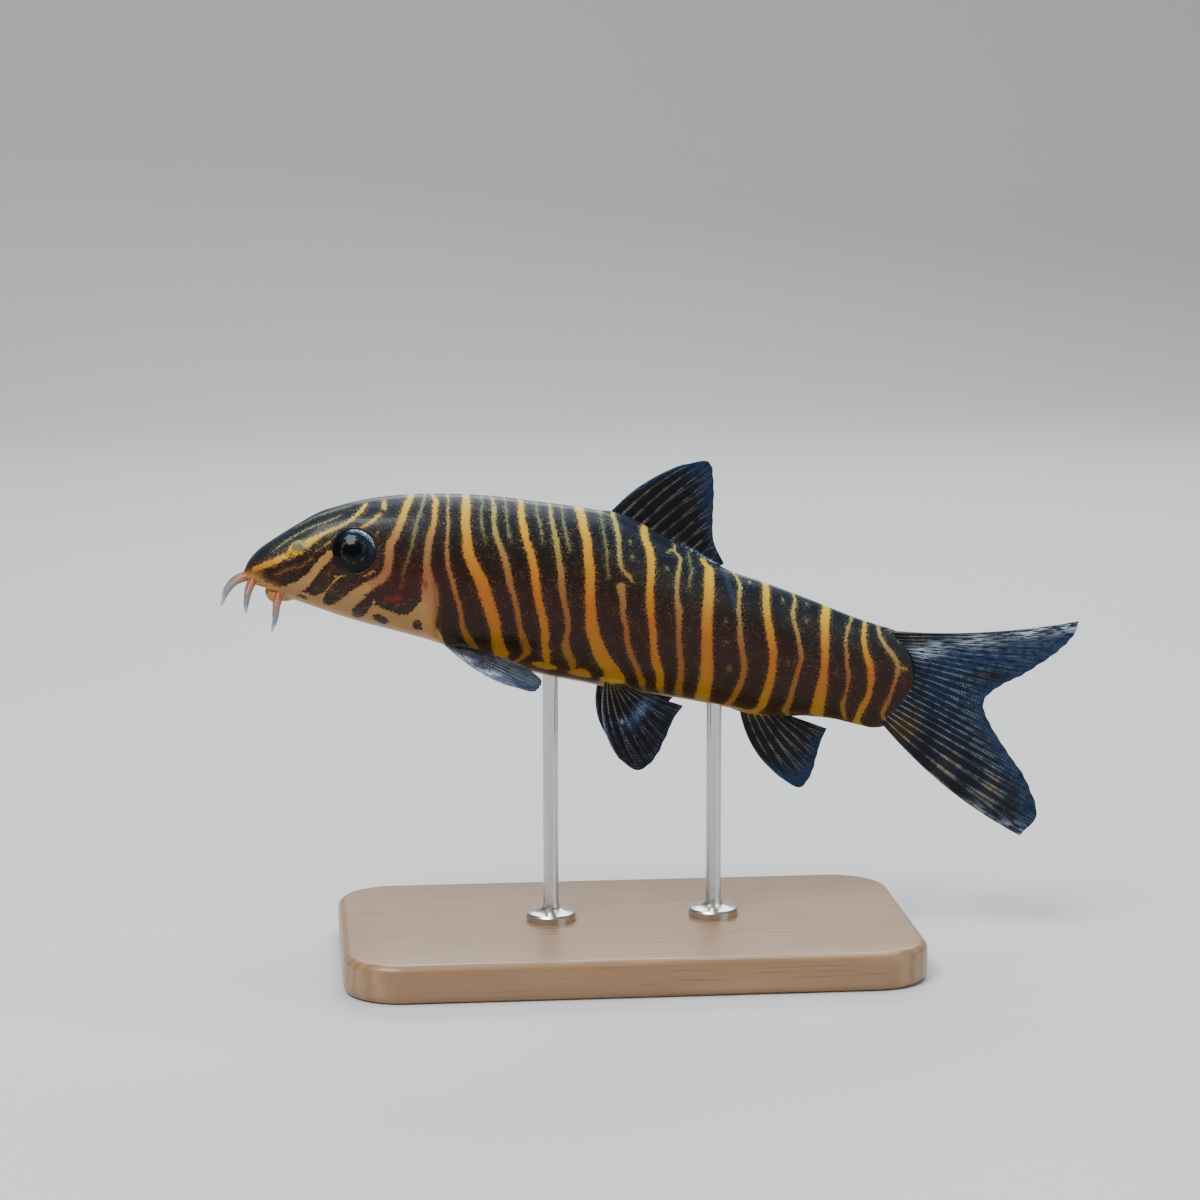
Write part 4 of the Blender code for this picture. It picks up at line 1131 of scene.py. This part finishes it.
def pelvic_place(side):
    roots = roots_on([(x, PELVIC_LEVEL) for x in (54.6, 55.7, 56.8, 57.9)], side)
    margin = [(58.4, -16.7), (61.4, -17.9), (63.5, -16.0), (64.7, -12.8), (65.5, -9.8), (66.6, -7.7)]
    bow = (-1.3, -0.9, -0.5, -0.2, 0.0, 0.0)
    middle_y = along(roots, 0.5)[1]

    def lift(x, z, v):
        spread = PELVIC_SPREAD * np.clip(PELVIC_LEVEL - z, 0, None)
        return middle_y + side * (spread + 0.9 * v + ripple(x, 1.6, v))

    return sheet([(p[0], p[2]) for p in roots], margin, bow, lift)


def pectoral_place(side):
    roots = roots_on(((30.2, -4.3), (31.1, -4.2), (32.0, -4.0), (32.9, -3.7)), side)
    edge = ((40.0, 12.4, -7.7), (43.2, 12.6, -7.9), (44.6, 11.0, -7.0), (44.2, 9.0, -6.2), (42.4, 7.2, -5.6))
    margin = [(x, side * y, z) for x, y, z in edge]

    def place(u, v):
        low, high = along(roots, u), along(margin, u)
        droop = along(((-0.7,), (-0.35,), (-0.18,), (0.0,), (0.0,)), u)[..., 0]
        lift = 4 * v * (1 - v) * droop + ripple(u, 14, v)
        return low + (high - low) * v[..., None] + lift[..., None] * np.array((0, 0, 1))

    return place


def brighter(colour):
    return tuple(c * 1.8 for c in colour)


def fin_look(name, membrane, painted_sheen, bone):
    """A smoky, slightly see-through membrane between pale jointed rays, with a painted blue sheen towards the
    margin and in blue spots, and painted highlights in light spots.
    """
    look = Look(name, Roughness=0.38, Specular_IOR_Level=0.08, Coat_Weight=0.08, Coat_Roughness=0.18)
    ray, v, run = map(look.value, ("ray", "v", "run"))
    cloud, grain = look.noise(1000, 3.0), look.noise(6000, 2.0)
    where = look.node("CombineXYZ", {0: look.value("u") * 84, 1: v * 11}, 0)
    streak = look.node("TexNoise", {"Vector": where, "Scale": 1.0, "Detail": 3.0}, "Fac")
    on_ray = ray.step(0.9, 0.45) * (cloud.step(0.38, 0.58) * 0.55 + 0.45)
    joints = look.math("SINE", run * (2 * math.pi / JOINT_MM))
    joint = joints.step(0.3, 0.8) * ray.step(1.5, 0.9) * cloud.step(0.44, 0.56)
    lines = on_ray.at_least(joint)
    colour = look.mix(cloud.step(0.35, 0.65), membrane, brighter(membrane))
    # Painted sheen: towards the margin the membrane takes the sheen colour in streaks.
    edge = (v + cloud * 0.5).step(0.75, 1.35) + 0.12
    colour = look.mix(edge * streak.step(0.35, 0.60), colour, painted_sheen)
    fade = v.step(1.0, 0.35) * 0.55 + 0.35
    colour = look.mix(on_ray * fade, colour, bone)
    colour = look.mix(joint * fade, colour, brighter(bone))
    # Painted sheen: blue streaks where the blue spots lie, weaker on the rays.
    blue = look.value("blue") * (streak.step(0.42, 0.56) + 0.15) * (1.0 - lines * 0.7)
    colour = look.mix(blue.at_most(1.0), colour, (0.009, 0.030, 0.085))
    # Painted highlight: silver-white streaks where the light spots lie.
    pale = look.value("light") * (streak.step(0.46, 0.56) + 0.04)
    colour = look.mix(pale.at_most(1.0), colour, (0.45, 0.54, 0.66))
    colour = look.mix(look.value("warm") * (lines * 0.93 + 0.07), colour, (0.33, 0.21, 0.02))
    colour = look.mix(look.value("shade") * grain.step(0.25, 0.50), colour, (0.007, 0.005, 0.004))
    relief = look.bump(joint + grain * 0.5, 0.00003, 0.5)
    look.set(Base_Color=colour, Alpha=on_ray * 0.03 + 0.97, Normal=relief)
    return look.material


# Spots of tint on the fins: u, v, reach along u, reach along v, strength. The light spots are painted
# silver-white highlights and the blue spots a painted blue sheen; the warm and dark spots are the fins' own
# yellow and dark marks.
DORSAL_SPOTS = {
    "light": ((0.0, 0.8, 0.02, 0.5, 0.35), (0.80, 0.05, 0.16, 0.07, 0.55), (0.93, 0.02, 0.05, 0.08, 0.9)),
    "blue": ((0.25, 1.0, 0.35, 0.22, 0.9), (0.75, 1.0, 0.4, 0.14, 0.6), (0.90, 0.3, 0.08, 0.4, 0.5),
             (0.02, 0.5, 0.04, 0.6, 0.4)),
    "warm": ((0.10, 0.25, 0.12, 0.15, 0.10), (0.12, 0.62, 0.10, 0.20, 0.12)),
    "shade": ((0.45, 0.3, 0.3, 0.35, 0.6),),
}
ANAL_SPOTS = {
    "light": ((0.0, 0.9, 0.04, 0.2, 0.4),),
    "blue": ((0.12, 0.95, 0.3, 0.20, 1.0), (0.6, 0.97, 0.5, 0.12, 0.6)),
    "warm": ((0.25, -0.02, 0.4, 0.10, 1.0), (0.5, 0.45, 0.3, 0.12, 0.10)),
}
CAUDAL_SPOTS = {
    "light": ((0.26, 0.02, 0.07, 0.08, 1.0), (0.24, 0.10, 0.05, 0.12, 0.8), (0.03, 0.72, 0.05, 0.12, 0.9),
              (0.03, 0.95, 0.04, 0.10, 0.8), (0.09, 0.40, 0.07, 0.14, 0.75), (0.15, 0.15, 0.05, 0.10, 0.5),
              (1.0, 0.9, 0.03, 0.2, 0.5)),
    "blue": ((0.22, 0.45, 0.16, 0.30, 0.9), (0.45, 0.30, 0.25, 0.30, 0.5), (0.50, 0.98, 0.5, 0.20, 0.9),
             (0.15, 0.80, 0.12, 0.2, 0.6)),
    "warm": ((0.92, 0.04, 0.14, 0.09, 1.0), (0.95, 0.38, 0.09, 0.06, 0.5), (0.92, 0.68, 0.09, 0.06, 0.45),
             (0.10, 0.02, 0.10, 0.08, 0.5)),
    "shade": ((0.93, 0.22, 0.12, 0.07, 0.9), (0.96, 0.53, 0.12, 0.07, 0.9), (0.95, 0.83, 0.10, 0.07, 0.9),
              (0.36, 0.80, 0.05, 0.15, 0.8), (0.04, 0.83, 0.04, 0.04, 0.8), (0.05, 0.50, 0.05, 0.06, 0.6)),
}
PELVIC_SPOTS = {
    "light": ((0.0, 0.5, 0.03, 0.6, 0.35), (0.30, 0.42, 0.03, 0.03, 0.5), (0.66, 0.47, 0.22, 0.07, 0.18)),
    "blue": ((0.65, 0.50, 0.40, 0.11, 0.8),),
    "warm": ((0.35, -0.02, 0.5, 0.09, 1.0), (0.45, 0.20, 0.5, 0.10, 0.16)),
    "shade": ((0.4, 0.80, 0.5, 0.14, 0.8),),
}
PECTORAL_SPOTS = {
    "light": ((0.0, 0.6, 0.12, 0.7, 0.5), (0.10, 0.27, 0.16, 0.07, 1.0), (0.10, 0.27, 0.10, 0.05, 1.0),
              (0.16, 0.58, 0.16, 0.07, 1.0), (0.16, 0.58, 0.10, 0.05, 1.0)),
    "blue": ((0.15, 0.9, 0.5, 0.25, 0.8), (0.15, 0.45, 0.25, 0.4, 0.5)),
    "warm": ((0.75, 0.30, 0.25, 0.5, 0.16), (0.6, 0.05, 0.5, 0.10, 0.5)),
    "shade": ((0.75, 0.5, 0.20, 0.6, 0.5),),
}


# The feelers

BARBEL_RADII = {
    "inner": (0.6, 0.52, 0.42, 0.16),
    "outer": (0.6, 0.5, 0.42, 0.16),
    "mouth": (0.65, 0.55, 0.42, 0.16),
}
BARBEL_ROWS = 110
BARBEL_SIDES = 28


def barbels():
    """Two pairs on the snout and one pair at the corners of the mouth."""
    look = barbel_look()
    for side_name, s in SIDE_NAMES.items():
        shorter = 0.8 if s > 0 else 0.0
        lines = {
            "inner": ((1.2, 0.8, 0.2), (-1.0, 1.5, -1.0), (-2.1, 1.9, -2.6), (-2.6, 2.0, shorter - 4.9)),
            "outer": ((1.5, 1.4, 0.0), (1.0, 2.6, -1.8), (0.9, 3.0, -3.6), (1.1, 3.1, -5.2)),
            "mouth": (MOUTH_CORNER, (5.3, 3.4, -3.4), (5.4, 3.7, -5.2), (5.2, 3.9, shorter - 7.1)),
        }
        for kind, points in lines.items():
            tube = pipe([(x, s * y, z) for x, y, z in points], BARBEL_RADII[kind], BARBEL_ROWS, BARBEL_SIDES)
            line = tube.mean(axis=1, keepdims=True)
            u = np.linspace(0, 1, BARBEL_ROWS)[:, None, None]
            round_tip = np.sqrt(np.clip(1 - ease(0.955, 1.0, u) ** 2, 0.0004, 1))
            rings = 1 + 0.035 * np.sin(u * 150) * (1 - ease(0.85, 1, u))
            tube = line + (tube - line) * round_tip * rings
            node = f"barbel_{kind}_{side_name}"
            made = as_object("loach_" + node, *lattice(tube))
            store(made.data, "u", np.repeat(u.ravel(), BARBEL_SIDES))
            dress(made, "barbels", look, node)


def barbel_look():
    look = Look("loach_barbel", Roughness=0.32, Coat_Weight=0.5, Coat_Roughness=0.12, IOR=1.42)
    u = look.value("u") + look.noise(2500, 2.0) * 0.16
    grain = look.noise(7000, 2.0)
    colour = look.ramp(
        u, (0.12, (0.38, 0.085, 0.015)), (0.36, (0.26, 0.10, 0.05)), (0.58, (0.14, 0.13, 0.15)),
        (0.84, (0.09, 0.17, 0.30)), (1.0, (0.34, 0.44, 0.54)))
    colour = look.mix(grain.step(0.55, 0.7) * 0.5, colour, (0.05, 0.05, 0.07))
    look.set(Base_Color=colour, Normal=look.bump(grain, 0.00003, 0.4), Subsurface_Weight=0.15)
    return look.material


# The stand

BASE_CORNER = 0.006
BASE_FILLET = 0.0009
ROD_RADIUS = 0.0008
ROD_FOOT_RADIUS = 0.0026
ROD_FOOT_HEIGHT = 0.0010
ROD_SINK = 0.0004
FOOT_SINK = 0.0001

# The rod's outline over its foot: radius, and height in shares of the foot's
ROD_OUTLINE = (
    (ROD_FOOT_RADIUS, 0.7), (ROD_FOOT_RADIUS - 0.00015, 0.9), (ROD_FOOT_RADIUS - 0.0005, 1.0),
    (ROD_RADIUS + 0.0005, 1.15), (ROD_RADIUS + 0.0001, 1.5), (ROD_RADIUS, 2.0),
)


def stand_base():
    """A wooden plate with round corners and a small fillet, in the solid's box."""
    low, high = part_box("stand_base")
    corner = np.linspace(0, math.pi / 2, 19)
    rows = []
    bends = np.linspace(0, math.pi / 2, 8)
    fillet = [(BASE_FILLET * (1 - math.sin(a)), BASE_FILLET * (1 - math.cos(a))) for a in bends]
    levels = [(inset, low.z + rise) for inset, rise in fillet]
    levels += [(inset, high.z - rise) for inset, rise in fillet[::-1]]
    for inset, z in levels:
        radius = BASE_CORNER - inset
        ring = []
        for quarter, (sx, sy) in enumerate(((1, 1), (-1, 1), (-1, -1), (1, -1))):
            cx = (high.x - BASE_CORNER) * sx
            cy = (high.y - BASE_CORNER) * sy
            turn = corner + quarter * math.pi / 2
            ring += [(cx + radius * math.cos(a), cy + radius * math.sin(a), z) for a in turn]
        rows.append(ring)
    made = as_object("wood_base", *lattice(np.array(rows)), in_fish_frame=False)
    made.data.set_sharp_from_angle(angle=math.radians(50))
    look = Look("stand_wood", Roughness=0.38, Coat_Weight=0.25, Coat_Roughness=0.18)
    fibre = look.noise(900, 4.0, (0.045, 1.0, 1.0))
    pores = look.noise(3600, 3.0, (0.03, 1.0, 1.0))
    rings = look.node(
        "TexWave", {"Vector": look.place((0.12, 1.0, 0.6)), "Scale": 260.0, "Distortion": 5.0, "Detail": 3.0,
                    "Detail Scale": 1.2}, "Fac", wave_type="BANDS", bands_direction="Y")
    colour = look.mix(rings, (0.265, 0.148, 0.070), (0.360, 0.218, 0.110))
    colour = look.mix(fibre * 0.5, colour, (0.26, 0.145, 0.070))
    colour = look.mix(pores.step(0.58, 0.70) * 0.45, colour, (0.12, 0.060, 0.028))
    look.set(Base_Color=colour, Normal=look.bump(pores, 0.00004, 0.5))
    dress(made, "stand_base", look.material, "stand_base")


def stand_rods():
    """Two steel rods with turned feet, between the base and the belly."""
    look = Look("stand_steel", Metallic=1.0)
    brushed = look.noise(5000, 3.0, (1, 1, 0.02))
    turned = look.noise(2500, 2.0)
    colour = look.mix(brushed, (0.46, 0.46, 0.45), (0.66, 0.66, 0.64))
    look.set(Base_Color=colour, Roughness=turned * 0.14 + 0.18, Normal=look.bump(brushed, 0.00001, 0.4))
    turn = circle(56)
    for name in ("stand_rod_front", "stand_rod_rear"):
        low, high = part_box(name)
        cx, cy = (low.x + high.x) / 2, (low.y + high.y) / 2
        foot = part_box("stand_base")[1].z
        top = high.z + ROD_SINK
        profile = [(0.0, foot - FOOT_SINK), (ROD_FOOT_RADIUS, foot - FOOT_SINK)]
        profile += [(radius, foot + ROD_FOOT_HEIGHT * share) for radius, share in ROD_OUTLINE]
        profile += [(ROD_RADIUS, top), (0.0, top)]
        profile = [(max(radius, 1e-6), z) for radius, z in profile]
        rows = np.array([[(cx + r * math.cos(a), cy + r * math.sin(a), z) for a in turn] for r, z in profile])
        made = as_object("steel_" + name.split("_", 1)[1], *lattice(rows), in_fish_frame=False)
        made.data.set_sharp_from_angle(angle=math.radians(35))
        dress(made, "stand_rods", look.material, name)


# The floor and the lights

def floor():
    """A pale floor that curves up into a backdrop."""
    profile = [(-0.9, 0.0), (0.5, 0.0)]
    bends = np.linspace(0, math.pi / 2, 16)[1:]
    profile += [(0.5 + 0.3 * math.sin(a), 0.3 - 0.3 * math.cos(a)) for a in bends]
    profile += [(0.8, 1.6)]
    rows = np.array([[(x, y, z) for x in (-1.6, 1.6)] for y, z in profile])
    made = as_object("floor", *lattice(rows, around=False, capped=False), in_fish_frame=False)
    look = Look("floor", Roughness=0.7)
    tone = look.mix(look.noise(9.0, 3.0), (0.64, 0.64, 0.645), (0.68, 0.68, 0.68))
    look.set(Base_Color=tone)
    made.data.materials.append(look.material)


def light(name, size, power, location, aim=(0, 0, 0.035), colour=(1, 1, 1)):
    lamp = bpy.data.lights.new(name, "AREA")
    lamp.shape = "RECTANGLE"
    lamp.size, lamp.size_y = size
    lamp.energy = power
    lamp.color = colour
    made = new_object(name, lamp)
    made.location = location
    made.rotation_euler = (Vector(location) - Vector(aim)).to_track_quat("Z", "Y").to_euler()


def studio():
    light("key", (0.30, 0.22), 3.6, (-0.22, -0.26, 0.50))
    light("top", (0.50, 0.30), 2.0, (0.10, 0.12, 0.55), colour=(0.90, 0.95, 1.0))
    light("fill", (0.40, 0.40), 0.7, (0.45, -0.40, 0.20))
    light("back", (0.40, 0.20), 1.4, (0.10, 0.45, 0.35))
    world = bpy.data.worlds.new("studio")
    world.use_nodes = True
    world.node_tree.nodes["Background"].inputs["Color"].default_value = (0.80, 0.82, 0.85, 1)
    world.node_tree.nodes["Background"].inputs["Strength"].default_value = 0.30
    bpy.context.scene.world = world


SKIN = skin()
dress(SKIN, "trunk", skin_look(), "head", "trunk", "tail")
EYE_LOOK = eye_look()
for name in SIDE_NAMES:
    eye(name)
# Each fin look takes a membrane colour, a painted sheen colour and a ray colour.
DARK_FIN = fin_look("fin_dark", (0.003, 0.003, 0.004), (0.005, 0.012, 0.030), (0.065, 0.062, 0.055))
BLUE_FIN = fin_look("fin_blue", (0.012, 0.013, 0.015), (0.015, 0.040, 0.080), (0.13, 0.15, 0.18))
TAIL_FIN = fin_look("fin_tail", (0.003, 0.005, 0.010), (0.005, 0.018, 0.045), (0.090, 0.115, 0.150))
fin("fin_dorsal", ["dorsal_fin"], 12, 90, dorsal_place(), DARK_FIN, DORSAL_SPOTS, stiff=3)
fin("fin_anal", ["anal_fin"], 9, 70, anal_place(), DARK_FIN, ANAL_SPOTS, stiff=2)
LOBES = ["caudal_fin_upper", "caudal_fin_lower"]
fin("fin_caudal", LOBES, 23, 110, caudal_place(), TAIL_FIN, CAUDAL_SPOTS, (0.22, 0.5), 2, (0.09, 0.14, 0.75))
for name, side in SIDE_NAMES.items():
    fin("fin_pelvic_" + name, ["pelvic_fin_" + name], 9, 70, pelvic_place(side), DARK_FIN, PELVIC_SPOTS)
    fin("fin_pectoral_" + name, ["pectoral_fin_" + name], 13, 80, pectoral_place(side), BLUE_FIN,
        PECTORAL_SPOTS)
barbels()
stand_base()
stand_rods()
floor()
studio()
